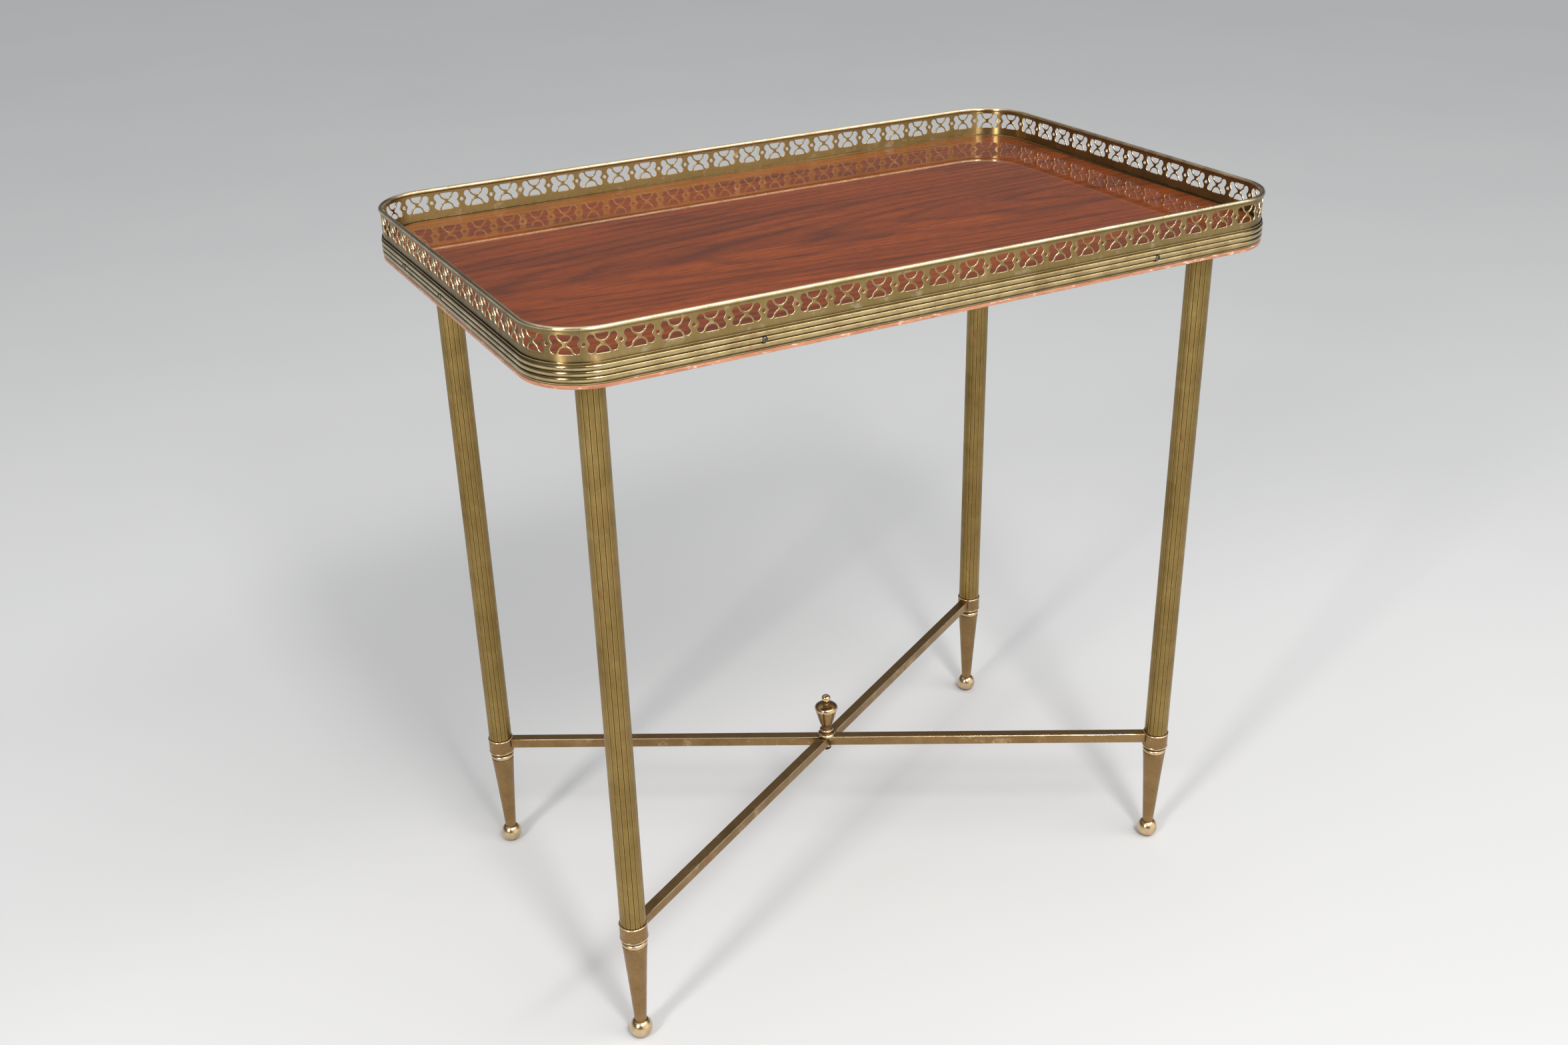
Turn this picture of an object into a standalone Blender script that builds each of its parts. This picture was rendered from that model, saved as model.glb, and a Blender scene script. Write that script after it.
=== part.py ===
"""Brass gallery side table with a mahogany top.

Metres, +Z up. The origin is on the floor under the middle of the table, +X runs along the long
side of the top and +Y along the short side. The top is a rebated mahogany board. A pierced brass
gallery stands round its edge, and a reeded brass band covers the gallery's foot and is pinned
through it into the board. Four fluted tubes stand under flanges screwed to the board. Each tube,
its collar and its ball foot are drawn together by a steel tie rod. Two square bars cross between
the collars, halved over each other, and carry an urn finial on a stud.
"""
import math

import bmesh
import bpy
from mathutils import Matrix, Vector

# Driving dimensions
TABLE_LENGTH = 0.560
TABLE_WIDTH = 0.352
TABLE_HEIGHT = 0.561
CORNER_RADIUS = 0.042
GAP = 0.0003

# Heights that follow from the rim
BEAD_RADIUS = 0.0016
RIM_TOP = TABLE_HEIGHT
BAND_TOP = RIM_TOP - 0.0212
BAND_BOTTOM = RIM_TOP - 0.0347
BOARD_TOP = RIM_TOP - 0.0230
BOARD_BOTTOM = RIM_TOP - 0.0374
BOARD_LIP_TOP = BAND_BOTTOM - GAP
PLATE_BOTTOM = BAND_BOTTOM + 0.0012

# Distances inward from the outermost line of the rim
REED_DEPTH = 0.0010
BAND_BACK = 0.0015
PLATE_OUTER = BAND_BACK + GAP
PLATE_THICKNESS = 0.0010
PLATE_INNER = PLATE_OUTER + PLATE_THICKNESS
BOARD_INSET = PLATE_INNER + GAP
BOARD_LIP_INSET = 0.0006
FLANGE_WIDTH = 0.0020
FIELD_INSET = PLATE_INNER + FLANGE_WIDTH + GAP
CORNER_STEPS = 7
END_STEP = 0.0005

# Reeded band
BAND_FILLET = 0.0008
REED_COUNT = 3
REED_PITCH = 0.0036
TOP_REED_HEIGHT = RIM_TOP - 0.0246
REED_STEPS = 3
MIDDLE_REED_HEIGHT = TOP_REED_HEIGHT - REED_PITCH

# Pierced gallery: its foot flange lies in a shallow rebate round the polished field
FLANGE_HEIGHT = 0.0012
FLANGE_REBATE = 0.0008
BEAD_STEPS = 8
PIERCING_UNITS = 76
PIERCING_HEIGHT = RIM_TOP - 0.0107
HEART_TIP = 0.0014
HEART_LOBE = 0.0094
HEART_HALF_HEIGHT = 0.0052
PIERCING_CUT = 0.0050
# The two lengths of each strip meet where these joints fall, as a fraction of the way round from
# the middle of the front
GALLERY_JOINTS = (0.355, 0.855)
BAND_JOINTS = (0.105, 0.605)

# Legs
LEG_X = 0.2371
LEG_Y = 0.1360
FLUTES = 16
TUBE_RADIUS = 0.0093
TUBE_BORE_RADIUS = 0.0078
GROOVE_DEPTH = 0.0007
GROOVE_HALF_ANGLE = math.radians(2.4)
COLLAR_RADIUS = 0.0101
COLLAR_TOP = 0.1044
COLLAR_BOTTOM = 0.0911
COLLAR_EDGE = 0.0004
COLLAR_SPIGOT_LENGTH = 0.0060
ROD_RADIUS = 0.0030
ROD_HOLE_RADIUS = ROD_RADIUS + GAP
ROD_BOTTOM = 0.0620
ROD_HOLE_BOTTOM = 0.0600
ROD_TOP = BOARD_BOTTOM - GAP - 0.0010
FLANGE_PLATE_RADIUS = 0.0220
FLANGE_PLATE_THICKNESS = 0.0030
FLANGE_PLATE_EDGE = 0.0005
BOSS_RADIUS = TUBE_BORE_RADIUS - GAP
BOSS_LENGTH = 0.0120
TUBE_TOP = BOARD_BOTTOM - GAP - FLANGE_PLATE_THICKNESS - GAP
ROUND_STEPS = 14

# Feet
FOOT_SPIGOT_RADIUS = 0.0060
FOOT_SPIGOT_LENGTH = 0.0040
BALL_RADIUS = 0.0083
BALL_CENTRE = 0.0076
ANKLE_RADIUS = 0.0044
FOOT_TOP_RADIUS = 0.0086
FOOT_NECK_RADIUS = 0.0084
FOOT_NECK_DROP = 0.0013
FOOT_BEAD_HEIGHT = 0.0874
FOOT_BEAD_RADIUS = 0.0020
FOOT_BEAD_MIDDLE = 0.0075
TAPER_RADIUS = 0.0092
TAPER_STEPS = 3
TAPER_POWER = 0.9

# Stretcher
BAR_SIZE = 0.0080
BAR_TOP = 0.1036
BAR_MIDDLE = BAR_TOP - BAR_SIZE / 2
BAR_EDGE = 0.0005
TENON_RADIUS = 0.0024
TENON_LENGTH = 0.0030
TENON_ROOT = 0.0040
STUD_RADIUS = 0.0020
STUD_HOLE_RADIUS = STUD_RADIUS + GAP
STUD_RISE = 0.0110
STUD_PROUD = 0.0012
FINIAL_HOLE_DEPTH = 0.0120
WASHER_RADIUS = 0.0050
WASHER_THICKNESS = 0.0008
NUT_HEIGHT = 0.0032
NUT_RADIUS = 0.0040

# Fasteners
SCREWS_PER_FLANGE = 3
SCREW_CIRCLE = 0.0155
SCREW_HEAD_RADIUS = 0.0034
SCREW_HEAD_DEPTH = 0.0022
SCREW_RIM = 0.0003
SCREW_SHANK_RADIUS = 0.0016
SCREW_LENGTH = 0.0120
SCREW_TIP_LENGTH = 0.0025
SCREW_SLOT = (0.0100, 0.0009, 0.0016)
SCREW_SINK_GAP = 1.6 * GAP
PIN_HEAD_RADIUS = 0.0020
PIN_HEAD_HEIGHT = 0.0015
PIN_SHANK_RADIUS = 0.0007
PIN_LENGTH = 0.0110
PIN_TIP_LENGTH = 0.0015
PIN_SEAT_DEPTH = 0.0009
PIN_SEAT_CUT = 0.0040
FRONT_PINS = (-0.139, 0.162)
LEFT_PINS = (0.010, 0.087)

# How far a cutter reaches past the faces it opens
CUT_MARGIN = 0.0010
MERGE_DISTANCE = 0.00001

BRASS = (0.52, 0.36, 0.13, 1.0)
AGED_BRASS = (0.33, 0.21, 0.075, 1.0)
STEEL = (0.42, 0.41, 0.40, 1.0)
MAHOGANY = (0.26, 0.075, 0.035, 1.0)

for old in list(bpy.data.objects):
    bpy.data.objects.remove(old, do_unlink=True)


def new_collection(name):
    collection = bpy.data.collections.new(name)
    bpy.context.scene.collection.children.link(collection)
    return collection


PARTS = new_collection("gallery_side_table")
CUTTERS = new_collection("cutters")


def new_material(name, colour, roughness, metallic):
    material = bpy.data.materials.new(name)
    material.use_nodes = True
    shader = material.node_tree.nodes["Principled BSDF"]
    shader.inputs["Base Color"].default_value = colour
    shader.inputs["Roughness"].default_value = roughness
    shader.inputs["Metallic"].default_value = metallic
    return material


def finish_mesh(name, mesh):
    """Gives a mesh smooth shading, with its hard edges kept."""
    mesh.name = name
    mesh.shade_smooth()
    mesh.set_sharp_from_angle(angle=math.radians(35))
    return mesh


def add_part(name, mesh, colour, roughness, metallic, location=(0, 0, 0), turn=0.0):
    part = bpy.data.objects.new(name, mesh)
    part.location = location
    part.rotation_euler = (0, 0, turn)
    mesh.materials.clear()
    mesh.materials.append(new_material(name, colour, roughness, metallic))
    PARTS.objects.link(part)
    return part


def mesh_from(bm):
    bmesh.ops.recalc_face_normals(bm, faces=bm.faces)
    mesh = bpy.data.meshes.new("mesh")
    bm.to_mesh(mesh)
    bm.free()
    return mesh


def cylinder(bm, radius, length, matrix, steps=ROUND_STEPS):
    bmesh.ops.create_cone(bm, cap_ends=True, segments=steps, radius1=radius, radius2=radius,
                          depth=length, matrix=matrix)


def evaluated_mesh(item):
    """The mesh that an object's modifiers or curve settings give, in its own frame."""
    depsgraph = bpy.context.evaluated_depsgraph_get()
    return bpy.data.meshes.new_from_object(item.evaluated_get(depsgraph))


def turned(name, profile, steps=ROUND_STEPS):
    """A closed profile in the XZ plane, turned about Z. It runs down its outer side."""
    mesh = bpy.data.meshes.new(name)
    count = len(profile)
    points = [(radius, 0, height) for radius, height in profile]
    mesh.from_pydata(points, [(i, (i + 1) % count) for i in range(count)], [])
    blank = bpy.data.objects.new(name + "_profile", mesh)
    CUTTERS.objects.link(blank)
    screw = blank.modifiers.new("turn", "SCREW")
    screw.axis = "Z"
    screw.angle = math.tau
    screw.steps = steps
    screw.render_steps = steps
    screw.use_merge_vertices = True
    screw.merge_threshold = MERGE_DISTANCE
    solid = evaluated_mesh(blank)
    bpy.data.objects.remove(blank, do_unlink=True)
    bm = bmesh.new()
    bm.from_mesh(solid)
    bmesh.ops.remove_doubles(bm, verts=bm.verts, dist=MERGE_DISTANCE)
    return mesh_from(bm)


def boolean(mesh, cutter_mesh, operation="DIFFERENCE"):
    """One mesh cut by or joined to another."""
    base = bpy.data.objects.new("base", mesh)
    cutter = bpy.data.objects.new("cutter", cutter_mesh)
    cutter.display_type = "WIRE"
    cutter.hide_render = True
    CUTTERS.objects.link(base)
    CUTTERS.objects.link(cutter)
    step = base.modifiers.new("cut", "BOOLEAN")
    step.operation = operation
    step.solver = "EXACT"
    step.object = cutter
    result = evaluated_mesh(base)
    bpy.data.objects.remove(base, do_unlink=True)
    bpy.data.objects.remove(cutter, do_unlink=True)
    return result


def arc(centre, radius, start, end, steps):
    """Points on a circular arc, with angles in degrees."""
    points = []
    for i in range(steps + 1):
        angle = math.radians(start + (end - start) * i / steps)
        x = centre[0] + radius * math.cos(angle)
        y = centre[1] + radius * math.sin(angle)
        points.append((x, y))
    return points


# The outermost line of the rim: a rounded rectangle, walked counter-clockwise from the middle of
# the front side
STRAIGHT_X = TABLE_LENGTH - 2 * CORNER_RADIUS
STRAIGHT_Y = TABLE_WIDTH - 2 * CORNER_RADIUS
QUARTER = math.pi / 2 * CORNER_RADIUS
RIM_LENGTH = 2 * STRAIGHT_X + 2 * STRAIGHT_Y + 4 * QUARTER


def rim_stretches():
    """Each stretch of the rim: start distance, length, start point, heading, and if it turns."""
    half_x = TABLE_LENGTH / 2
    half_y = TABLE_WIDTH / 2
    r = CORNER_RADIUS
    return (
        (0, STRAIGHT_X / 2, Vector((0, -half_y, 0)), 0, False),
        (STRAIGHT_X / 2, QUARTER, Vector((half_x - r, -half_y, 0)), 0, True),
        (STRAIGHT_X / 2 + QUARTER, STRAIGHT_Y, Vector((half_x, r - half_y, 0)), 90, False),
        (STRAIGHT_X / 2 + QUARTER + STRAIGHT_Y, QUARTER, Vector((half_x, half_y - r, 0)), 90, True),
        (RIM_LENGTH / 2 - STRAIGHT_X / 2, STRAIGHT_X / 2, Vector((half_x - r, half_y, 0)), 180, False),
    )


def rim_frame(distance):
    """Point, heading and inward direction at a distance along the rim's outermost line."""
    half = RIM_LENGTH / 2
    distance %= RIM_LENGTH
    far_side = distance > half
    walked = distance - half if far_side else distance
    for start, length, origin, heading, turns in rim_stretches():
        if walked <= start + length + 1e-9:
            break
    along = walked - start
    angle = math.radians(heading)
    if turns:
        centre = origin + CORNER_RADIUS * Vector((-math.sin(angle), math.cos(angle), 0))
        angle += along / CORNER_RADIUS
        point = centre + CORNER_RADIUS * Vector((math.sin(angle), -math.cos(angle), 0))
    else:
        point = origin + along * Vector((math.cos(angle), math.sin(angle), 0))
    heading_vector = Vector((math.cos(angle), math.sin(angle), 0))
    if far_side:
        point = -point
        heading_vector = -heading_vector
    inward = Vector((-heading_vector.y, heading_vector.x, 0))
    return point, heading_vector, inward


def rim_distances(start, end):
    """Distances between two places on the rim, with a point at each end of every straight.

    A short step at each end keeps the ends square to the rim.
    """
    marks = {start, start + END_STEP, end - END_STEP, end}
    for lap in (-1, 0, 1, 2):
        for begin, length, origin, heading, turns in rim_stretches():
            base = begin + lap * RIM_LENGTH / 2
            steps = CORNER_STEPS if turns else 1
            marks.update(base + length * i / steps for i in range(steps + 1))
    kept = sorted(mark for mark in marks if start - 1e-6 <= mark <= end + 1e-6)
    spaced = [kept[0]]
    for mark in kept[1:]:
        if mark - spaced[-1] > 1e-5:
            spaced.append(mark)
    return spaced


def rim_strip(profile, start, end):
    """A closed profile of (inward distance, height) swept along the rim: a curve with a bevel."""
    section_curve = bpy.data.curves.new("section", "CURVE")
    section_curve.dimensions = "2D"
    spline = section_curve.splines.new("POLY")
    spline.points.add(len(profile) - 1)
    for point, (inward, height) in zip(spline.points, profile):
        point.co = (-inward, height, 0, 1)
    spline.use_cyclic_u = True
    section = bpy.data.objects.new("section", section_curve)
    CUTTERS.objects.link(section)

    path_curve = bpy.data.curves.new("path", "CURVE")
    path_curve.dimensions = "2D"
    path_curve.bevel_mode = "OBJECT"
    path_curve.bevel_object = section
    path_curve.use_fill_caps = True
    path = path_curve.splines.new("POLY")
    distances = rim_distances(start, end)
    path.points.add(len(distances) - 1)
    for point, distance in zip(path.points, distances):
        place = rim_frame(distance)[0]
        point.co = (place.x, place.y, 0, 1)
    strip = bpy.data.objects.new("strip", path_curve)
    CUTTERS.objects.link(strip)
    bpy.context.view_layer.update()
    mesh = evaluated_mesh(strip)
    bpy.data.objects.remove(strip, do_unlink=True)
    bpy.data.objects.remove(section, do_unlink=True)
    bm = bmesh.new()
    bm.from_mesh(mesh)
    bmesh.ops.remove_doubles(bm, verts=bm.verts, dist=MERGE_DISTANCE)
    return mesh_from(bm)


def rim_matrix(distance, inward_distance, height):
    """A frame on the rim whose X is along it, Y is up and Z points outward."""
    point, along, inward = rim_frame(distance)
    origin = point + inward * inward_distance + Vector((0, 0, height))
    axes = Matrix((along, Vector((0, 0, 1)), -inward)).transposed()
    return Matrix.Translation(origin) @ axes.to_4x4()


def pin_distances():
    """Places of the pins along the rim: two on each side, the back and right like the front and left."""
    left_middle = RIM_LENGTH - (STRAIGHT_X / 2 + QUARTER + STRAIGHT_Y / 2)
    places = [x % RIM_LENGTH for x in FRONT_PINS]
    places += [left_middle - y for y in LEFT_PINS]
    places += [(place + RIM_LENGTH / 2) % RIM_LENGTH for place in places]
    return places


def pin_hole_cutters():
    """A hole for each pin's shank, through the band and the gallery and into the board."""
    bm = bmesh.new()
    for distance in pin_distances():
        matrix = rim_matrix(distance, PIN_LENGTH / 2, MIDDLE_REED_HEIGHT)
        cylinder(bm, PIN_SHANK_RADIUS + GAP, PIN_LENGTH + 2 * GAP, matrix, steps=6)
    return mesh_from(bm)


def pin_seat_cutters():
    """A round seat in the middle reed for each pin's head."""
    bm = bmesh.new()
    for distance in pin_distances():
        matrix = rim_matrix(distance, PIN_SEAT_DEPTH - PIN_SEAT_CUT / 2, MIDDLE_REED_HEIGHT)
        cylinder(bm, PIN_HEAD_RADIUS + GAP, PIN_SEAT_CUT, matrix, steps=10)
    return mesh_from(bm)


def rounded_outline(inset):
    """The rim's outline moved inward: an arc of points at each corner."""
    points = []
    starts = [start for start, length, origin, heading, turns in rim_stretches() if turns]
    for half in (0, RIM_LENGTH / 2):
        for start in starts:
            for i in range(CORNER_STEPS + 1):
                point, along, inward = rim_frame(half + start + QUARTER * i / CORNER_STEPS)
                points.append(point + inward * inset)
    return points


def slab(inset, bottom, top):
    """A flat board with the rim's outline: a filled 2D curve with thickness."""
    curve = bpy.data.curves.new("slab", "CURVE")
    curve.dimensions = "2D"
    curve.fill_mode = "BOTH"
    curve.extrude = (top - bottom) / 2
    outline = rounded_outline(inset)
    spline = curve.splines.new("POLY")
    spline.points.add(len(outline) - 1)
    for point, place in zip(spline.points, outline):
        point.co = (place.x, place.y, 0, 1)
    spline.use_cyclic_u = True
    item = bpy.data.objects.new("slab", curve)
    CUTTERS.objects.link(item)
    bpy.context.view_layer.update()
    mesh = evaluated_mesh(item)
    bpy.data.objects.remove(item, do_unlink=True)
    bm = bmesh.new()
    bm.from_mesh(mesh)
    bmesh.ops.remove_doubles(bm, verts=bm.verts, dist=MERGE_DISTANCE)
    bmesh.ops.translate(bm, verts=bm.verts, vec=(0, 0, (top + bottom) / 2))
    return mesh_from(bm)


def leg_places():
    """Name and centre of each leg."""
    return (
        ("front_left", -LEG_X, -LEG_Y),
        ("front_right", LEG_X, -LEG_Y),
        ("back_left", -LEG_X, LEG_Y),
        ("back_right", LEG_X, LEG_Y),
    )


def screw_places(x, y):
    """Centres of a flange's screws, the first one towards the middle of the table."""
    first = math.atan2(-y, -x)
    for i in range(SCREWS_PER_FLANGE):
        angle = first + math.tau * i / SCREWS_PER_FLANGE
        yield x + SCREW_CIRCLE * math.cos(angle), y + SCREW_CIRCLE * math.sin(angle)


def make_top_board():
    """The mahogany board, rebated for the brass, with pilot holes for its screws and pins."""
    middle = (BOARD_LIP_TOP + BOARD_BOTTOM) / 2
    board = slab(BOARD_INSET, middle, BOARD_TOP - FLANGE_REBATE)
    board = boolean(board, slab(BOARD_LIP_INSET, BOARD_BOTTOM, BOARD_LIP_TOP), "UNION")
    board = boolean(board, slab(FIELD_INSET, middle, BOARD_TOP), "UNION")
    bm = bmesh.new()
    depth = SCREW_LENGTH - FLANGE_PLATE_THICKNESS
    for name, x, y in leg_places():
        for hole_x, hole_y in screw_places(x, y):
            place = Matrix.Translation((hole_x, hole_y, BOARD_BOTTOM + depth / 2 - GAP))
            cylinder(bm, SCREW_SHANK_RADIUS + GAP, depth + 2 * GAP, place, steps=8)
    board = boolean(board, mesh_from(bm))
    board = boolean(board, pin_hole_cutters())
    add_part("top_board", finish_mesh("top_board", board), MAHOGANY, 0.18, 0.0)


def gallery_profile():
    """Pierced plate with a rolled bead at the top and a narrow flange on the board."""
    middle = (PLATE_OUTER + PLATE_INNER) / 2
    centre_height = RIM_TOP - BEAD_RADIUS
    half = PLATE_THICKNESS / 2
    entry = math.degrees(math.asin(half / BEAD_RADIUS))
    bead = arc((middle, centre_height), BEAD_RADIUS, 270 - entry, entry - 90, BEAD_STEPS)
    flange_base = BOARD_TOP - FLANGE_REBATE + GAP
    foot = [
        (PLATE_INNER, flange_base + FLANGE_HEIGHT),
        (PLATE_INNER + FLANGE_WIDTH, flange_base + FLANGE_HEIGHT / 2),
        (PLATE_INNER + FLANGE_WIDTH, flange_base),
        (PLATE_INNER, flange_base),
        (PLATE_INNER, PLATE_BOTTOM),
    ]
    return [(PLATE_OUTER, PLATE_BOTTOM)] + bead + foot


def piercing_cutters():
    """A pair of three-sided openings for each unit of the gallery, tip to tip."""
    bm = bmesh.new()
    width = HEART_LOBE - HEART_TIP
    circumradius = 2.0 / 3.0
    stretch = HEART_HALF_HEIGHT / (circumradius * math.sin(math.radians(60)))
    turn = Matrix.Rotation(math.radians(-90), 4, "Z")
    for unit in range(PIERCING_UNITS):
        distance = RIM_LENGTH * (unit + 0.5) / PIERCING_UNITS
        place = rim_matrix(distance, PLATE_OUTER, PIERCING_HEIGHT)
        for side in (-1, 1):
            centroid = Matrix.Translation((side * (HEART_TIP + width * circumradius), 0, 0))
            shape = Matrix.Diagonal((-side * width, stretch, 1, 1))
            cylinder(bm, circumradius, PIERCING_CUT, place @ centroid @ shape @ turn, steps=3)
    return mesh_from(bm)


def make_gallery():
    """Two lengths of pierced gallery."""
    piercings = piercing_cutters()
    holes = pin_hole_cutters()
    joints = [RIM_LENGTH * round(j * PIERCING_UNITS) / PIERCING_UNITS for j in GALLERY_JOINTS]
    spans = ((joints[1] - RIM_LENGTH, joints[0]), (joints[0], joints[1]))
    for name, (start, end) in zip(("gallery_front", "gallery_back"), spans):
        strip = rim_strip(gallery_profile(), start + GAP / 2, end - GAP / 2)
        strip = boolean(strip, piercings.copy())
        strip = boolean(strip, holes.copy())
        add_part(name, finish_mesh(name, strip), BRASS, 0.25, 1.0)


def band_profile():
    """Top fillet, three half-round reeds and a bottom fillet, on a flat back."""
    points = [(BAND_BACK, BAND_BOTTOM), (BAND_BACK, BAND_TOP), (BAND_FILLET, BAND_TOP)]
    points.append((BAND_FILLET, TOP_REED_HEIGHT + REED_PITCH / 2 + 0.0005))
    for reed in range(REED_COUNT):
        centre = TOP_REED_HEIGHT - reed * REED_PITCH
        first = 0 if reed == 0 else 1
        for i in range(first, REED_STEPS + 1):
            angle = math.pi * i / REED_STEPS
            depth = REED_DEPTH * (1 - math.sin(angle))
            points.append((depth, centre + REED_PITCH / 2 * math.cos(angle)))
    points.append((BAND_FILLET, BAND_BOTTOM))
    return points


def make_reeded_band():
    """Two lengths of reeded band over the gallery's foot and the board's edge."""
    holes = pin_hole_cutters()
    seats = pin_seat_cutters()
    joints = [RIM_LENGTH * j for j in BAND_JOINTS]
    spans = ((joints[1] - RIM_LENGTH, joints[0]), (joints[0], joints[1]))
    for name, (start, end) in zip(("reeded_band_front", "reeded_band_back"), spans):
        strip = rim_strip(band_profile(), start + GAP / 2, end - GAP / 2)
        strip = boolean(strip, holes.copy())
        strip = boolean(strip, seats.copy())
        add_part(name, finish_mesh(name, strip), BRASS, 0.25, 1.0)


def make_pins():
    """Round-headed pins: each a dome on a shank, set in the middle reed."""
    dome = arc((0, 0), 1.0, 90, 0, 3)
    profile = [(PIN_HEAD_RADIUS * x, PIN_HEAD_HEIGHT * z) for x, z in dome]
    profile[0] = (0.0, PIN_HEAD_HEIGHT)
    profile.append((PIN_SHANK_RADIUS, 0.0))
    profile.append((PIN_SHANK_RADIUS, PIN_TIP_LENGTH - PIN_LENGTH))
    profile.append((0.0, -PIN_LENGTH))
    mesh = turned("pin", profile, steps=8)
    finish_mesh("pin", mesh)
    seat = PIN_SEAT_DEPTH - GAP
    for number, distance in enumerate(pin_distances(), start=1):
        pin = add_part("gallery_pin_%02d" % number, mesh.copy(), STEEL, 0.35, 1.0)
        pin.matrix_world = rim_matrix(distance, seat, MIDDLE_REED_HEIGHT)


def make_leg_tube(name, x, y):
    """A tube with broad flutes parted by narrow grooves, open at both ends."""
    outline = []
    for flute in range(FLUTES):
        middle = math.tau * flute / FLUTES
        half = math.pi / FLUTES
        for turn in (GROOVE_HALF_ANGLE - half, 0, half - GROOVE_HALF_ANGLE):
            outline.append((TUBE_RADIUS, middle + turn))
        outline.append((TUBE_RADIUS - GROOVE_DEPTH, middle + half))
    curve = bpy.data.curves.new("tube", "CURVE")
    curve.dimensions = "2D"
    curve.fill_mode = "BOTH"
    length = TUBE_TOP - (COLLAR_TOP + GAP)
    curve.extrude = length / 2
    spline = curve.splines.new("POLY")
    spline.points.add(len(outline) - 1)
    for point, (radius, angle) in zip(spline.points, outline):
        point.co = (radius * math.cos(angle), radius * math.sin(angle), 0, 1)
    spline.use_cyclic_u = True
    bore = curve.splines.new("POLY")
    bore.points.add(ROUND_STEPS - 1)
    for i, point in enumerate(bore.points):
        angle = math.tau * i / ROUND_STEPS
        point.co = (TUBE_BORE_RADIUS * math.cos(angle), TUBE_BORE_RADIUS * math.sin(angle), 0, 1)
    bore.use_cyclic_u = True
    item = bpy.data.objects.new("tube", curve)
    CUTTERS.objects.link(item)
    bpy.context.view_layer.update()
    mesh = evaluated_mesh(item)
    bpy.data.objects.remove(item, do_unlink=True)
    bm = bmesh.new()
    bm.from_mesh(mesh)
    bmesh.ops.remove_doubles(bm, verts=bm.verts, dist=0.000001)
    bmesh.ops.translate(bm, verts=bm.verts, vec=(0, 0, COLLAR_TOP + GAP + length / 2))
    tube = mesh_from(bm)
    add_part("leg_tube_" + name, finish_mesh("leg_tube", tube), BRASS, 0.4, 1.0, (x, y, 0))


def make_collar(name, x, y):
    """A turned collar with a spigot for the tube, a bore for the foot and a socket for the bar."""
    spigot = TUBE_BORE_RADIUS - GAP
    spigot_top = COLLAR_TOP + COLLAR_SPIGOT_LENGTH
    bore_top = COLLAR_BOTTOM + FOOT_SPIGOT_LENGTH + 2 * GAP
    profile = [
        (spigot, spigot_top),
        (spigot, COLLAR_TOP),
        (COLLAR_RADIUS - COLLAR_EDGE, COLLAR_TOP),
        (COLLAR_RADIUS, COLLAR_TOP - COLLAR_EDGE),
        (COLLAR_RADIUS, COLLAR_BOTTOM + COLLAR_EDGE),
        (COLLAR_RADIUS - COLLAR_EDGE, COLLAR_BOTTOM),
        (FOOT_SPIGOT_RADIUS + GAP, COLLAR_BOTTOM),
        (FOOT_SPIGOT_RADIUS + GAP, bore_top),
        (ROD_HOLE_RADIUS, bore_top),
        (ROD_HOLE_RADIUS, spigot_top),
    ]
    mesh = turned("collar", profile, steps=16)
    bm = bmesh.new()
    towards = Matrix.Rotation(math.atan2(-y, -x), 4, "Z")
    depth = TENON_LENGTH + 2 * GAP + CUT_MARGIN
    middle = Matrix.Translation((COLLAR_RADIUS + CUT_MARGIN - depth / 2, 0, BAR_MIDDLE))
    lying = Matrix.Rotation(math.pi / 2, 4, "Y")
    cylinder(bm, TENON_RADIUS + GAP, depth, towards @ middle @ lying, steps=8)
    mesh = boolean(mesh, mesh_from(bm))
    add_part("collar_" + name, finish_mesh("collar", mesh), AGED_BRASS, 0.3, 1.0, (x, y, 0))


def foot_profile():
    """Spigot, groove, bead, long taper and a ball with a small flat, with a hole for the rod."""
    ankle_height = BALL_CENTRE + math.sqrt(BALL_RADIUS ** 2 - ANKLE_RADIUS ** 2)
    flat_angle = math.degrees(math.asin(BALL_CENTRE / BALL_RADIUS))
    ankle_angle = math.degrees(math.acos(ANKLE_RADIUS / BALL_RADIUS))
    shoulder = COLLAR_BOTTOM - GAP
    bead = arc((FOOT_BEAD_MIDDLE, FOOT_BEAD_HEIGHT), FOOT_BEAD_RADIUS, 90, -90, 3)
    taper_top = FOOT_BEAD_HEIGHT - FOOT_BEAD_RADIUS
    taper = []
    for i in range(TAPER_STEPS + 1):
        t = i / TAPER_STEPS
        radius = TAPER_RADIUS + (ANKLE_RADIUS - TAPER_RADIUS) * t ** TAPER_POWER
        taper.append((radius, taper_top + (ankle_height - taper_top) * t))
    ball = arc((0, BALL_CENTRE), BALL_RADIUS, ankle_angle, -flat_angle, 5)[1:]
    return (
        [(FOOT_SPIGOT_RADIUS, shoulder + FOOT_SPIGOT_LENGTH), (FOOT_SPIGOT_RADIUS, shoulder)]
        + [(FOOT_TOP_RADIUS, shoulder), (FOOT_NECK_RADIUS, shoulder - FOOT_NECK_DROP)]
        + bead[1:-1]
        + taper
        + ball
        + [(0.0, 0.0), (0.0, ROD_HOLE_BOTTOM)]
        + [(ROD_HOLE_RADIUS, ROD_HOLE_BOTTOM), (ROD_HOLE_RADIUS, shoulder + FOOT_SPIGOT_LENGTH)]
    )


def make_foot(name, x, y):
    mesh = turned("foot", foot_profile(), steps=ROUND_STEPS)
    add_part("foot_" + name, finish_mesh("foot", mesh), AGED_BRASS, 0.3, 1.0, (x, y, 0))


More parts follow.
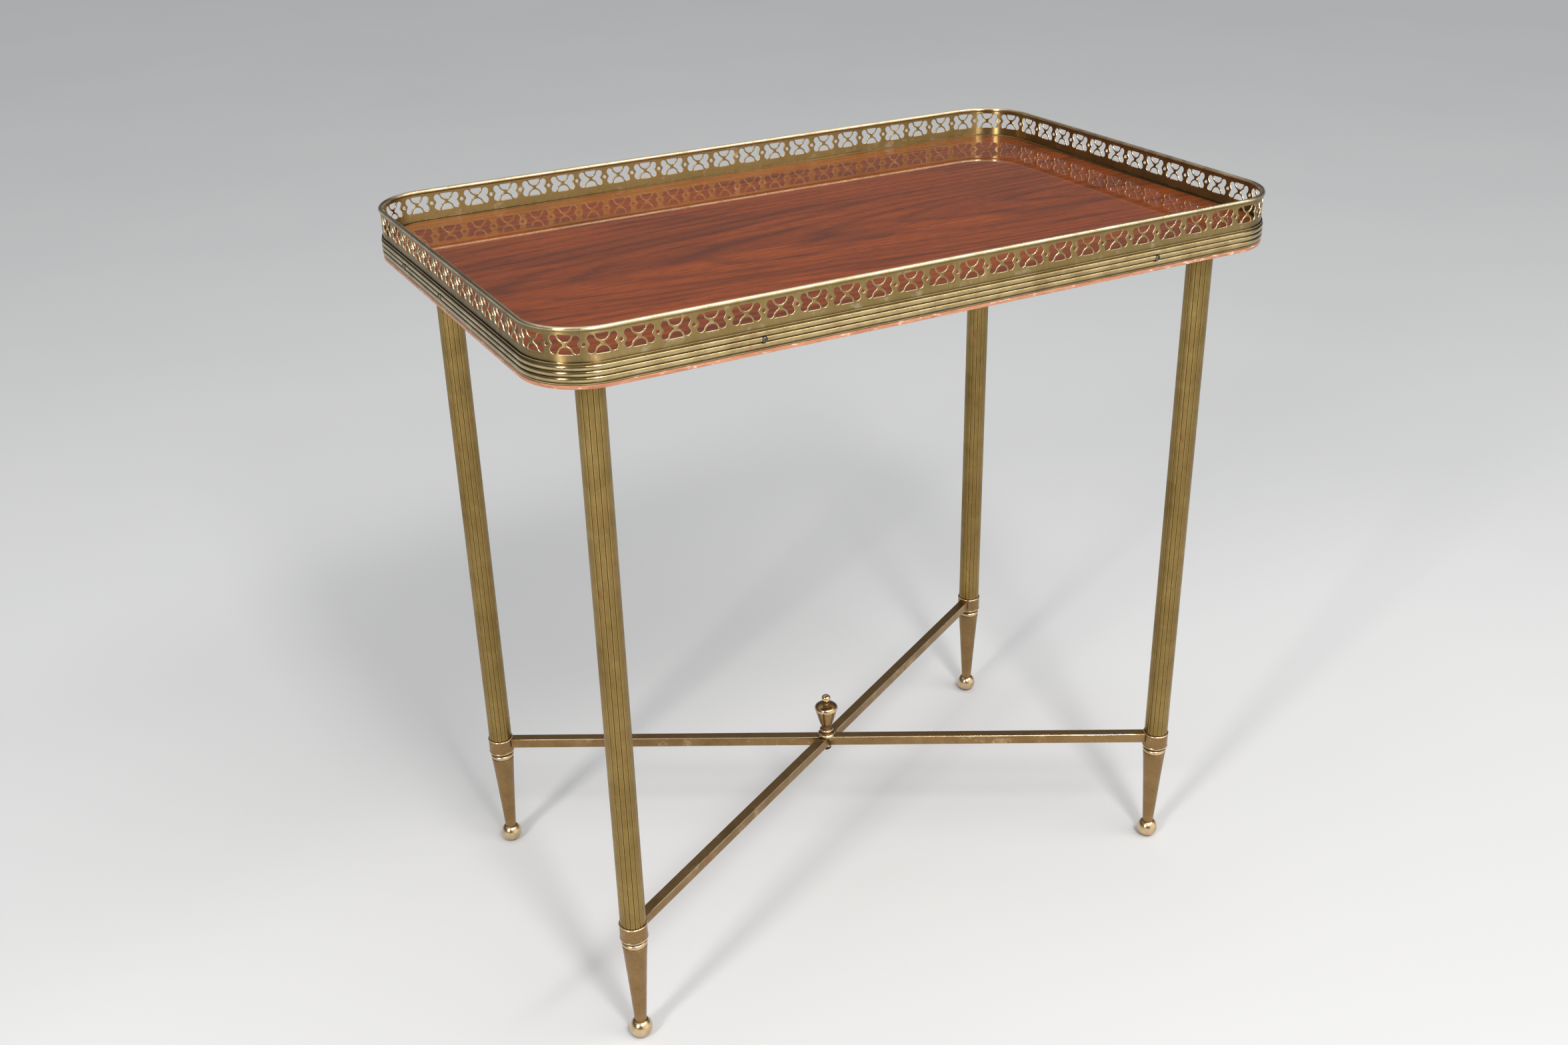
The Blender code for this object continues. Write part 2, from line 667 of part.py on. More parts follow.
def make_flange(name, x, y):
    """A round plate with a threaded boss inside the tube and three countersunk holes."""
    top = BOARD_BOTTOM - GAP
    under = top - FLANGE_PLATE_THICKNESS
    profile = [
        (ROD_HOLE_RADIUS, top),
        (FLANGE_PLATE_RADIUS, top),
        (FLANGE_PLATE_RADIUS, under + FLANGE_PLATE_EDGE),
        (FLANGE_PLATE_RADIUS - FLANGE_PLATE_EDGE, under),
        (BOSS_RADIUS, under),
        (BOSS_RADIUS, under - BOSS_LENGTH),
        (ROD_HOLE_RADIUS, under - BOSS_LENGTH),
    ]
    mesh = turned("flange", profile, steps=16)
    bm = bmesh.new()
    for hole_x, hole_y in screw_places(x, y):
        place = Matrix.Translation((hole_x - x, hole_y - y, top))
        cylinder(bm, SCREW_SHANK_RADIUS + GAP, SCREW_LENGTH, place, steps=8)
    mesh = boolean(mesh, mesh_from(bm))
    bm = bmesh.new()
    slope = (SCREW_HEAD_RADIUS - SCREW_SHANK_RADIUS) / (SCREW_HEAD_DEPTH - SCREW_RIM)
    sink_depth = SCREW_HEAD_DEPTH + CUT_MARGIN
    sink_narrow = SCREW_SHANK_RADIUS + SCREW_SINK_GAP
    sink_wide = sink_narrow + slope * sink_depth
    for hole_x, hole_y in screw_places(x, y):
        sink_middle = under - CUT_MARGIN + sink_depth / 2
        place = Matrix.Translation((hole_x - x, hole_y - y, sink_middle))
        bmesh.ops.create_cone(bm, cap_ends=True, segments=8, radius1=sink_wide, radius2=sink_narrow,
                              depth=sink_depth, matrix=place)
    mesh = boolean(mesh, mesh_from(bm))
    add_part("leg_flange_" + name, finish_mesh("leg_flange", mesh), AGED_BRASS, 0.4, 1.0, (x, y, 0))


def make_flange_screws(name, x, y):
    """Countersunk wood screws, head down, with a driver slot."""
    under = BOARD_BOTTOM - GAP - FLANGE_PLATE_THICKNESS
    profile = [
        (0.0, SCREW_LENGTH),
        (SCREW_SHANK_RADIUS, SCREW_LENGTH - SCREW_TIP_LENGTH),
        (SCREW_SHANK_RADIUS, SCREW_HEAD_DEPTH),
        (SCREW_HEAD_RADIUS, SCREW_RIM),
        (SCREW_HEAD_RADIUS, 0.0),
        (0.0, 0.0),
    ]
    mesh = turned("screw", profile, steps=8)
    bm = bmesh.new()
    bmesh.ops.create_cube(bm, size=1.0, matrix=Matrix.Diagonal((*SCREW_SLOT, 1.0)))
    mesh = boolean(mesh, mesh_from(bm))
    finish_mesh("screw", mesh)
    for number, (screw_x, screw_y) in enumerate(screw_places(x, y), start=1):
        turn = number + 9 * x
        part_name = "flange_screw_%s_%d" % (name, number)
        add_part(part_name, mesh.copy(), STEEL, 0.4, 1.0, (screw_x, screw_y, under), turn)


def make_tie_rod(name, x, y):
    """A plain steel rod from the flange's boss down into the foot."""
    bm = bmesh.new()
    middle = Matrix.Translation((0, 0, (ROD_TOP + ROD_BOTTOM) / 2))
    cylinder(bm, ROD_RADIUS, ROD_TOP - ROD_BOTTOM, middle, steps=12)
    add_part("tie_rod_" + name, finish_mesh("tie_rod", mesh_from(bm)), STEEL, 0.45, 1.0, (x, y, 0))


def box_along(length, width, bottom, top, edge=0.0):
    """A bar along X with bevelled edges."""
    bm = bmesh.new()
    middle = Matrix.Translation((0, 0, (top + bottom) / 2))
    size = Matrix.Diagonal((length, width, top - bottom, 1))
    bmesh.ops.create_cube(bm, size=1.0, matrix=middle @ size)
    if edge:
        long_edges = [e for e in bm.edges if abs(e.verts[0].co.x - e.verts[1].co.x) > length / 2]
        bmesh.ops.bevel(bm, geom=long_edges, offset=edge, segments=1, affect="EDGES")
    return mesh_from(bm)


def make_stretchers():
    """Two square bars halved over each other, with a round tenon at each end."""
    angle = math.atan2(LEG_Y, LEG_X)
    reach = math.hypot(LEG_X, LEG_Y)
    lying = Matrix.Rotation(math.pi / 2, 4, "Y")
    cut_height = BAR_SIZE + 2 * CUT_MARGIN
    for name, turn, side in (("stretcher_bar_rising", angle, 1), ("stretcher_bar_falling", -angle, -1)):
        mesh = box_along(2 * reach, BAR_SIZE, BAR_TOP - BAR_SIZE, BAR_TOP, BAR_EDGE)
        bm = bmesh.new()
        for end in (-1, 1):
            place = Matrix.Translation((end * reach, 0, BAR_MIDDLE))
            cylinder(bm, COLLAR_RADIUS + GAP, cut_height, place, steps=20)
        mesh = boolean(mesh, mesh_from(bm))
        bm = bmesh.new()
        for end in (-1, 1):
            length = TENON_LENGTH + TENON_ROOT
            middle_x = end * (reach - COLLAR_RADIUS + TENON_LENGTH - length / 2)
            place = Matrix.Translation((middle_x, 0, BAR_MIDDLE))
            cylinder(bm, TENON_RADIUS, length, place @ lying, steps=8)
        mesh = boolean(mesh, mesh_from(bm), "UNION")
        near = BAR_MIDDLE - side * GAP / 2
        far = BAR_MIDDLE + side * cut_height / 2
        notch = box_along(4 * BAR_SIZE, BAR_SIZE + 2 * GAP, min(near, far), max(near, far))
        notch.transform(Matrix.Rotation(-2 * turn, 4, "Z"))
        mesh = boolean(mesh, notch)
        bm = bmesh.new()
        place = Matrix.Translation((0, 0, BAR_MIDDLE))
        cylinder(bm, STUD_HOLE_RADIUS, cut_height, place, steps=12)
        mesh = boolean(mesh, mesh_from(bm))
        add_part(name, finish_mesh(name, mesh), AGED_BRASS, 0.35, 1.0, turn=turn)


def make_finial():
    """An urn on a ringed foot, with a domed shoulder and a knob, tapped from below."""
    base = BAR_TOP + GAP
    hole_top = base + FINIAL_HOLE_DEPTH
    outline = [
        (0.0000, 0.0385),
        (0.0026, 0.0380),
        (0.0039, 0.0355),
        (0.0027, 0.0328),
        (0.0027, 0.0310),
        (0.0085, 0.0287),
        (0.0097, 0.0264),
        (0.0088, 0.0242),
        (0.0052, 0.0115),
        (0.0038, 0.0100),
        (0.0038, 0.0075),
        (0.0056, 0.0054),
        (0.0052, 0.0038),
        (0.0071, 0.0024),
        (0.0068, 0.0000),
        (STUD_HOLE_RADIUS, 0.0000),
    ]
    profile = [(radius, base + height) for radius, height in outline]
    profile += [(STUD_HOLE_RADIUS, hole_top), (0.0, hole_top)]
    mesh = turned("finial", profile, steps=ROUND_STEPS)
    add_part("finial", finish_mesh("finial", mesh), AGED_BRASS, 0.25, 1.0)


def make_centre_fastening():
    """Stud, washer and nut that hold the finial on the crossing."""
    bar_bottom = BAR_TOP - BAR_SIZE
    washer_top = bar_bottom - GAP
    washer_bottom = washer_top - WASHER_THICKNESS
    nut_top = washer_bottom - GAP
    nut_bottom = nut_top - NUT_HEIGHT
    stud_bottom = nut_bottom - STUD_PROUD
    stud_top = BAR_TOP + STUD_RISE

    bm = bmesh.new()
    place = Matrix.Translation((0, 0, (stud_top + stud_bottom) / 2))
    cylinder(bm, STUD_RADIUS, stud_top - stud_bottom, place, steps=12)
    add_part("finial_stud", finish_mesh("finial_stud", mesh_from(bm)), STEEL, 0.45, 1.0)

    washer = turned("washer", [
        (STUD_HOLE_RADIUS, washer_top),
        (WASHER_RADIUS, washer_top),
        (WASHER_RADIUS, washer_bottom),
        (STUD_HOLE_RADIUS, washer_bottom),
    ])
    add_part("centre_washer", finish_mesh("centre_washer", washer), AGED_BRASS, 0.4, 1.0)

    place = Matrix.Translation((0, 0, (nut_top + nut_bottom) / 2))
    bm = bmesh.new()
    cylinder(bm, NUT_RADIUS, NUT_HEIGHT, place, steps=6)
    nut = mesh_from(bm)
    bm = bmesh.new()
    cylinder(bm, STUD_HOLE_RADIUS, NUT_HEIGHT + 2 * CUT_MARGIN, place, steps=12)
    nut = boolean(nut, mesh_from(bm))
    add_part("centre_nut", finish_mesh("centre_nut", nut), AGED_BRASS, 0.4, 1.0)


make_top_board()
make_gallery()
make_reeded_band()
make_pins()
for leg_name, leg_x, leg_y in leg_places():
    make_leg_tube(leg_name, leg_x, leg_y)
    make_collar(leg_name, leg_x, leg_y)
    make_foot(leg_name, leg_x, leg_y)
    make_flange(leg_name, leg_x, leg_y)
    make_flange_screws(leg_name, leg_x, leg_y)
    make_tie_rod(leg_name, leg_x, leg_y)
make_stretchers()
make_finial()
make_centre_fastening()
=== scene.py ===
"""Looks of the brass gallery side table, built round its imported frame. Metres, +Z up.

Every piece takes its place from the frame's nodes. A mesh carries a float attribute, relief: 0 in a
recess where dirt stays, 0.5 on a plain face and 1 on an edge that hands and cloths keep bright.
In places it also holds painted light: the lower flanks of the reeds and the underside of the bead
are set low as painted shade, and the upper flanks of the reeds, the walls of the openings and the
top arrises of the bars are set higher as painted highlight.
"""
import math

import bmesh
import bpy
from mathutils import Matrix, Vector
from mathutils.geometry import delaunay_2d_cdt


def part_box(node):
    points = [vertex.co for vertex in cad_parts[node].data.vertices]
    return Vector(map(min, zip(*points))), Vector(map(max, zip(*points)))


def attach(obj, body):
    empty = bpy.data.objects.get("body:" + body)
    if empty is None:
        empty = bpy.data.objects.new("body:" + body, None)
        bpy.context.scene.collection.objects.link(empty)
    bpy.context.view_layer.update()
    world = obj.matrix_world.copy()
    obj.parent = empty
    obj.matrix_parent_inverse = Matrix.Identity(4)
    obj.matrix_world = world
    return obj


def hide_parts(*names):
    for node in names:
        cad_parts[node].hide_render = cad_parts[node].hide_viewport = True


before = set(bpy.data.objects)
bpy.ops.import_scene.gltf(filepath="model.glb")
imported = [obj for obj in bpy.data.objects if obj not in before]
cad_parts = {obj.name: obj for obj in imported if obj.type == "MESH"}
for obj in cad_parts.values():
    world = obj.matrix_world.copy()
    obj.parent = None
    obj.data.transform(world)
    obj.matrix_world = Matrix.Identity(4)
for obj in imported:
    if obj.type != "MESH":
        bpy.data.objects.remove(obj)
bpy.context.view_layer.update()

MM = 0.001
RELIEF = "relief"
RECESS = 0.0
PLAIN = 0.5
EDGE = 1.0

# Places taken from the frame
board_low, board_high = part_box("top_board")
RIM_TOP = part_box("gallery_front")[1].z
BAND_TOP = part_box("reeded_band_front")[1].z
BAND_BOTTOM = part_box("reeded_band_front")[0].z
PLATE_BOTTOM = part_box("gallery_front")[0].z
BOARD_TOP = board_high.z
BOARD_BOTTOM = board_low.z

# The rim: a rounded rectangle, walked counter-clockwise from the middle of the front side.
# Profiles across it are (distance inward from its outermost line, height)
LIP_INSET = 0.6 * MM
HALF_LENGTH = board_high.x + LIP_INSET
HALF_WIDTH = board_high.y + LIP_INSET
CORNER_RADIUS = 42 * MM
STRAIGHT_X = 2 * (HALF_LENGTH - CORNER_RADIUS)
STRAIGHT_Y = 2 * (HALF_WIDTH - CORNER_RADIUS)
QUARTER = math.pi / 2 * CORNER_RADIUS
RIM_LENGTH = 2 * STRAIGHT_X + 2 * STRAIGHT_Y + 4 * QUARTER
GAP = 0.3 * MM
PLATE_OUTER = 1.8 * MM
PLATE_THICKNESS = 1.0 * MM
PLATE_INNER = PLATE_OUTER + PLATE_THICKNESS
BOARD_INSET = PLATE_INNER + GAP
FLANGE_WIDTH = 2.0 * MM
FIELD_INSET = PLATE_INNER + FLANGE_WIDTH + GAP
FLANGE_REBATE = 0.8 * MM

# Pierced gallery: 76 units, each with two half-moons, two heart-shaped openings and a round hole
UNITS = 76
PITCH = RIM_LENGTH / UNITS
UNIT_STEPS = 12
MOTIF_HEIGHT = RIM_TOP - 10.7 * MM
MOTIF_HALF = 6.0 * MM
MOON_RADIUS = 4.2 * MM
RIB_OUTER = 5.4 * MM
LOBE = Vector((7.1 * MM, 3.4 * MM))
LOBE_RADIUS = 2.3 * MM
CUSP = 7.7 * MM
TIP_CENTRE = 2.3 * MM
TIP_RADIUS = 0.9 * MM
HOLE_RADIUS = 1.25 * MM
CELL_START = -13.2 * MM
EDGE_ROUND = 0.37 * MM
BEAD_RADIUS = 1.6 * MM
SEAM = 0.09 * MM
GALLERY_SEAMS = (27, 65)
BAND_SEAMS = (0.105 * RIM_LENGTH, 0.605 * RIM_LENGTH)

# Reeded band
REED_PITCH = 3.6 * MM
REED_DEPTH = 1.0 * MM
TOP_REED = RIM_TOP - 24.6 * MM
BAND_BACK = 1.5 * MM

# Legs
FLUTES = 16
ROUND_STEPS = 96
TUBE_WALL = 1.5 * MM
ROD_BORE = 3.4 * MM
TAPER_RADIUS = 9.15 * MM
ANKLE_RADIUS = 4.4 * MM
BALL_RADIUS = 8.3 * MM
BALL_CENTRE = 7.6 * MM
LEGS = ("front_left", "front_right", "back_left", "back_right")

# Fastenings
STUD_BORE = 2.3 * MM
FLANGE_THICKNESS = 3.0 * MM
BOSS_BORE = 3.3 * MM
BOSS_RADIUS = 7.5 * MM
SCREWS = (1, 2, 3)


def seat(node):
    """The lowest and highest corners of a node's box, its middle and half its length along X."""
    low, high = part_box(node)
    return low, high, (low + high) / 2, (high.x - low.x) / 2


LEG_X = seat("leg_tube_front_right")[2].x
LEG_Y = seat("leg_tube_back_right")[2].y


# Camera: where it stands, how it is turned, and its lens in millimetres
CAMERA_PLACE = (-0.5677, -0.9949, 0.8663)
CAMERA_AZIMUTH = math.radians(-28.16)
CAMERA_ELEVATION = math.radians(26.24)
CAMERA_ROLL = math.radians(-1.44)
CAMERA_SENSOR = 36.0
CAMERA_LENS = 37.53


def make_camera():
    """Looks down at the table from the front left."""
    back = Vector((math.sin(CAMERA_AZIMUTH) * math.cos(CAMERA_ELEVATION),
                   -math.cos(CAMERA_AZIMUTH) * math.cos(CAMERA_ELEVATION),
                   math.sin(CAMERA_ELEVATION)))
    level = Vector((0, 0, 1)).cross(back).normalized()
    upright = back.cross(level)
    right = math.cos(CAMERA_ROLL) * level + math.sin(CAMERA_ROLL) * upright
    up = math.cos(CAMERA_ROLL) * upright - math.sin(CAMERA_ROLL) * level
    data = bpy.data.cameras.new("camera")
    data.sensor_width = CAMERA_SENSOR
    data.lens = CAMERA_LENS
    camera = bpy.data.objects.new("camera", data)
    turn = Matrix((right, up, back)).transposed().to_4x4()
    camera.matrix_world = Matrix.Translation(CAMERA_PLACE) @ turn
    bpy.context.scene.collection.objects.link(camera)
    bpy.context.scene.camera = camera


# Materials

class Shader:
    """The node tree of a material or of the world, under construction."""

    def __init__(self, owner):
        owner.use_nodes = True
        self.owner = owner
        self.nodes = owner.node_tree.nodes
        self.links = owner.node_tree.links
        self.place = self.make("TexCoord").outputs["Object"]

    def feed(self, socket, value):
        if isinstance(value, bpy.types.NodeSocket):
            self.links.new(value, socket)
        else:
            socket.default_value = value

    def make(self, kind, **values):
        """A new node with sockets fed by name, an underscore standing for a space."""
        node = self.nodes.new("ShaderNode" + kind)
        for name, value in values.items():
            self.feed(node.inputs[name.replace("_", " ")], value)
        return node

    def operate(self, kind, operation, *values):
        """A new node for a sum on numbers or vectors, fed in order."""
        node = self.make(kind)
        node.operation = operation
        for socket, value in zip(node.inputs, values):
            self.feed(socket, value)
        return node

    def stretched(self, scale, rotation=(0, 0, 0), location=(0, 0, 0)):
        node = self.make("Mapping", Vector=self.place, Scale=scale, Rotation=rotation, Location=location)
        return node.outputs["Vector"]

    def noise(self, scale, detail=3.0, roughness=0.55, distortion=0.0, vector=None):
        node = self.make("TexNoise", Vector=vector or self.place, Scale=scale, Detail=detail,
                         Roughness=roughness, Distortion=distortion)
        return node.outputs["Fac"]

    def relief(self):
        node = self.make("Attribute")
        node.attribute_name = RELIEF
        return node.outputs["Fac"]

    def between(self, value, low, high, start=0.0, end=1.0):
        """The value's share of the way from low to high, held to that range."""
        node = self.make("MapRange", Value=value, From_Min=low, From_Max=high, To_Min=start, To_Max=end)
        return node.outputs["Result"]

    def maths(self, operation, first, second):
        return self.operate("Math", operation, first, second).outputs["Value"]

    def mix(self, share, first, second):
        node = self.make("Mix")
        node.data_type = "RGBA"
        for number, value in ((0, share), (6, first), (7, second)):
            self.feed(node.inputs[number], value)
        return node.outputs[2]

    def bump(self, height, strength, distance, normal=None):
        node = self.make("Bump", Height=height, Strength=strength, Distance=distance)
        if normal is not None:
            self.feed(node.inputs["Normal"], normal)
        return node.outputs["Normal"]

    def set(self, name, value):
        """Feeds a socket of the surface, or of the world's background."""
        surface = self.nodes.get("Principled BSDF") or self.nodes["Background"]
        self.feed(surface.inputs[name], value)


def new_material(name):
    return Shader(bpy.data.materials.new(name))


COPPER_RED = (0.30, 0.105, 0.045, 1)
WAX_BLOOM = (0.76, 0.69, 0.54, 1)


def brass(name, plain, bright, dark, dirt_and_shade, polish, dullness, spots, wave=0.10, brushed=False):
    """Aged brass: patchy tarnish, dirt in the recesses, worn bright edges and copper-red spots.
    Where the relief is set for light, the same masks also paint shade in the dirt colour and
    highlight in the bright colour.

    Polish and dullness are its roughness where clean and where tarnished. Brushed brass is drawn
    along its length and keeps a pale bloom of old polish above its foot.
    """
    s = new_material(name)
    relief = s.relief()
    cloud = s.noise(11.0, 4.0, 0.6, 0.4)
    patch = s.noise(70.0, 4.0, 0.62)
    fine = s.noise(420.0, 3.0, 0.6)
    tarnish = s.maths("ADD", s.maths("MULTIPLY", cloud, 0.6), s.maths("MULTIPLY", patch, 0.4))
    tarnish = s.between(tarnish, 0.38, 0.66)
    colour = s.mix(tarnish, plain, dark)
    speck = s.between(fine, 0.42, 0.70, 0.0, 0.30)
    colour = s.mix(speck, colour, dark)
    clinging = s.between(patch, 0.15, 0.45, 0.75, 1.0)
    # Darkening by relief: dirt in the recesses, and painted shade on the reeds' lower flanks and the
    # bead's underside.
    dirt_and_shade_mask = s.maths("MULTIPLY", s.between(relief, 0.34, 0.0), clinging)
    colour = s.mix(dirt_and_shade_mask, colour, dirt_and_shade)
    handled = s.between(patch, 0.66, 0.36, 0.45, 1.0)
    # Brightening by relief: wear on the edges, and painted highlight on the reeds' upper flanks, the
    # opening walls and the bars' top arrises.
    wear_and_highlight = s.maths("MULTIPLY", s.between(relief, 0.62, 1.0), handled)
    colour = s.mix(wear_and_highlight, colour, bright)
    pits = s.between(s.noise(1100.0, 2.0, 0.6), 0.66, 0.74, 0.0, 0.55)
    colour = s.mix(pits, colour, dirt_and_shade)
    rubbed = s.between(s.noise(38.0, 5.0, 0.72), 0.60, 0.70)
    colour = s.mix(s.maths("MULTIPLY", rubbed, s.between(relief, 0.30, 0.50, 0.0, 0.4)), colour, bright)
    blotch = s.noise(95.0, 2.0, 0.5, 0.8, s.stretched((1, 1, 0.45)))
    colour = s.mix(s.between(blotch, 0.66, 0.74, 0.0, spots), colour, COPPER_RED)
    if brushed:
        near_foot = s.maths("MULTIPLY", s.between(relief, 0.47, 0.40), s.between(relief, 0.30, 0.36))
        bloom = s.between(s.noise(85.0, 4.0, 0.65), 0.56, 0.72, 0.0, 0.40)
        colour = s.mix(s.maths("MULTIPLY", near_foot, bloom), colour, WAX_BLOOM)
    s.set("Base Color", colour)
    s.set("Metallic", 1.0)
    rough = s.between(tarnish, 0.0, 1.0, polish, dullness)
    rough = s.maths("ADD", rough, s.maths("MULTIPLY", dirt_and_shade_mask, 0.25))
    rough = s.maths("SUBTRACT", rough, s.maths("MULTIPLY", wear_and_highlight, 0.10))
    s.set("Roughness", rough)
    if brushed:
        lie = s.make("Tangent")
        lie.direction_type = "RADIAL"
        lie.axis = "Z"
        s.set("Tangent", lie.outputs["Tangent"])
        s.set("Anisotropic", 0.95)
        s.set("Anisotropic Rotation", 0.25)
    normal = s.bump(s.noise(60.0, 2.0, 0.5), wave, 0.5 * MM)
    s.set("Normal", s.bump(fine, 0.08, 0.10 * MM, normal))
    return s.owner


def wood_figure(s, light, mid, dark):
    """Soft elongated flames, thin growth lines and fine pores, all running along X."""
    flame = s.noise(1.0, 4.0, 0.58, 1.1, s.stretched((5.5, 34, 34), (0, 0, math.radians(3))))
    ribbon = s.noise(1.0, 3.0, 0.6, 0.3, s.stretched((1.6, 15, 15)))
    streak = s.noise(1.0, 5.0, 0.7, 0.4, s.stretched((11, 330, 330)))
    pores = s.noise(1.0, 3.0, 0.7, 0.2, s.stretched((75, 1500, 1500)))
    sway = s.make("TexNoise", Vector=s.stretched((3.2, 15, 15)), Scale=1.0, Detail=2.5)
    heart = s.stretched((1, 1, 1), (0, math.radians(6.5), math.radians(1.6)), (0, 0.005, -0.507))
    bent = s.operate("VectorMath", "MULTIPLY_ADD", sway.outputs["Color"], (0, 0.034, 0.034), heart)
    lines = s.make("TexWave", Vector=bent.outputs["Vector"], Scale=36.0)
    lines.wave_type = "RINGS"
    lines.rings_direction = "X"
    colour = s.mix(s.between(streak, 0.34, 0.68), light, mid)
    colour = s.mix(s.between(flame, 0.46, 0.72, 0.0, 0.55), colour, dark)
    colour = s.mix(s.between(ribbon, 0.46, 0.66, 0.0, 0.35), colour, dark)
    line = s.maths("POWER", lines.outputs["Fac"], 3.0)
    colour = s.mix(s.maths("MULTIPLY", line, s.between(flame, 0.36, 0.60, 0.22, 0.62)), colour, dark)
    colour = s.mix(s.between(pores, 0.51, 0.63, 0.0, 0.75), colour, dark)
    return colour, streak, pores


def mahogany_gloss():
    """The polished top: figured wood under a thick, faintly rippled coat of lacquer."""
    s = new_material("mahogany_gloss")
    colour, streak, pores = wood_figure(
        s, light=(0.345, 0.073, 0.012, 1), mid=(0.225, 0.045, 0.009, 1), dark=(0.080, 0.021, 0.011, 1))
    s.set("Base Color", colour)
    s.set("Roughness", s.between(streak, 0.3, 0.7, 0.36, 0.50))
    s.set("Specular IOR Level", 0.1)
    s.set("Coat Weight", 1.0)
    s.set("Coat Roughness", 0.035)
    s.set("Coat IOR", 1.80)
    ripple = s.bump(s.noise(30.0, 2.0, 0.5, 0.2), 0.10, 0.20 * MM)
    s.set("Coat Normal", s.bump(pores, 0.06, 0.04 * MM, ripple))
    s.set("Normal", s.bump(pores, 0.25, 0.08 * MM))
    return s.owner


def wood_edge():
    """The lip under the brass: lighter, worn and rubbed through to bare wood in places."""
    s = new_material("wood_edge")
    along = s.noise(1.0, 4.0, 0.6, 0.0, s.stretched((60, 60, 700)))
    rubbed = s.noise(1.0, 3.0, 0.6, 0.0, s.stretched((110, 110, 420)))
    colour = s.mix(s.between(along, 0.35, 0.65), (0.52, 0.235, 0.120, 1), (0.36, 0.135, 0.062, 1))
    colour = s.mix(s.between(rubbed, 0.60, 0.67, 0.0, 0.8), colour, (0.74, 0.56, 0.44, 1))
    colour = s.mix(s.between(rubbed, 0.44, 0.30, 0.0, 0.7), colour, (0.20, 0.065, 0.030, 1))
    s.set("Base Color", colour)
    s.set("Roughness", s.between(along, 0.3, 0.7, 0.38, 0.52))
    s.set("Coat Weight", 0.35)
    s.set("Coat Roughness", 0.15)
    s.set("Normal", s.bump(along, 0.3, 0.1 * MM))
    return s.owner


def wood_underside():
    """The unpolished face below: dry, browner and open-grained."""
    s = new_material("wood_underside")
    colour, streak, pores = wood_figure(
        s, light=(0.20, 0.095, 0.046, 1), mid=(0.145, 0.062, 0.030, 1), dark=(0.080, 0.033, 0.018, 1))
    s.set("Base Color", colour)
    s.set("Roughness", s.between(streak, 0.3, 0.7, 0.62, 0.80))
    s.set("Normal", s.bump(pores, 0.6, 0.15 * MM))
    return s.owner


def steel():
    """Plain steel gone grey, with specks of rust."""
    s = new_material("steel")
    fine = s.noise(900.0, 4.0, 0.6)
    patch = s.noise(240.0, 3.0, 0.6)
    colour = s.mix(s.between(patch, 0.4, 0.65), (0.17, 0.165, 0.145, 1), (0.085, 0.075, 0.060, 1))
    rust = s.between(fine, 0.58, 0.72, 0.0, 0.6)
    s.set("Base Color", s.mix(rust, colour, (0.09, 0.050, 0.028, 1)))
    s.set("Metallic", 1.0)
    s.set("Roughness", s.between(fine, 0.3, 0.7, 0.28, 0.48))
    s.set("Normal", s.bump(fine, 0.2, 0.05 * MM))
    return s.owner


def floor_finish():
    s = new_material("floor")
    s.set("Base Color", s.mix(s.noise(2.0, 2.0), (0.60, 0.61, 0.63, 1), (0.64, 0.65, 0.66, 1)))
    s.set("Roughness", 0.85)
    s.set("Specular IOR Level", 0.2)
    return s.owner


BRASSES = {
    "gallery_brass": dict(
        plain=(0.365, 0.266, 0.114, 1), bright=(0.92, 0.76, 0.50, 1),
        dark=(0.245, 0.171, 0.064, 1), dirt_and_shade=(0.11, 0.062, 0.022, 1),
        polish=0.29, dullness=0.41, spots=0.25, wave=0.05, brushed=True),
    "band_brass": dict(
        plain=(0.27, 0.193, 0.071, 1), bright=(0.66, 0.52, 0.29, 1),
        dark=(0.175, 0.118, 0.039, 1), dirt_and_shade=(0.100, 0.064, 0.021, 1),
        polish=0.13, dullness=0.22, spots=0.30, wave=0.05),
    "leg_brass": dict(
        plain=(0.345, 0.235, 0.078, 1), bright=(0.44, 0.31, 0.13, 1),
        dark=(0.215, 0.138, 0.042, 1), dirt_and_shade=(0.150, 0.092, 0.032, 1),
        polish=0.27, dullness=0.42, spots=0.55),
    "aged_brass": dict(
        plain=(0.385, 0.243, 0.106, 1), bright=(0.95, 0.73, 0.46, 1),
        dark=(0.215, 0.130, 0.054, 1), dirt_and_shade=(0.075, 0.042, 0.020, 1),
        polish=0.24, dullness=0.40, spots=0.60),
}
MATERIALS = {name: brass(name, **look) for name, look in BRASSES.items()}
MATERIALS.update(mahogany=mahogany_gloss(), wood_edge=wood_edge(), wood_underside=wood_underside(),
                 steel=steel())


# Mesh building

def new_shape():
    bm = bmesh.new()
    return bm, bm.verts.layers.float.new(RELIEF)


def add_point(bm, layer, place, relief):
    point = bm.verts.new(place)
    point[layer] = relief
    return point


def loft(bm, rings, close_ring=True, close_path=False):
    """Quads between rings of points, each ring and the path closed if asked."""
    count = len(rings[0])
    last_ring = len(rings) if close_path else len(rings) - 1
    last_point = count if close_ring else count - 1
    for i in range(last_ring):
        here = rings[i]
        there = rings[(i + 1) % len(rings)]
        for j in range(last_point):
            k = (j + 1) % count
            bm.faces.new((here[j], here[k], there[k], there[j]))


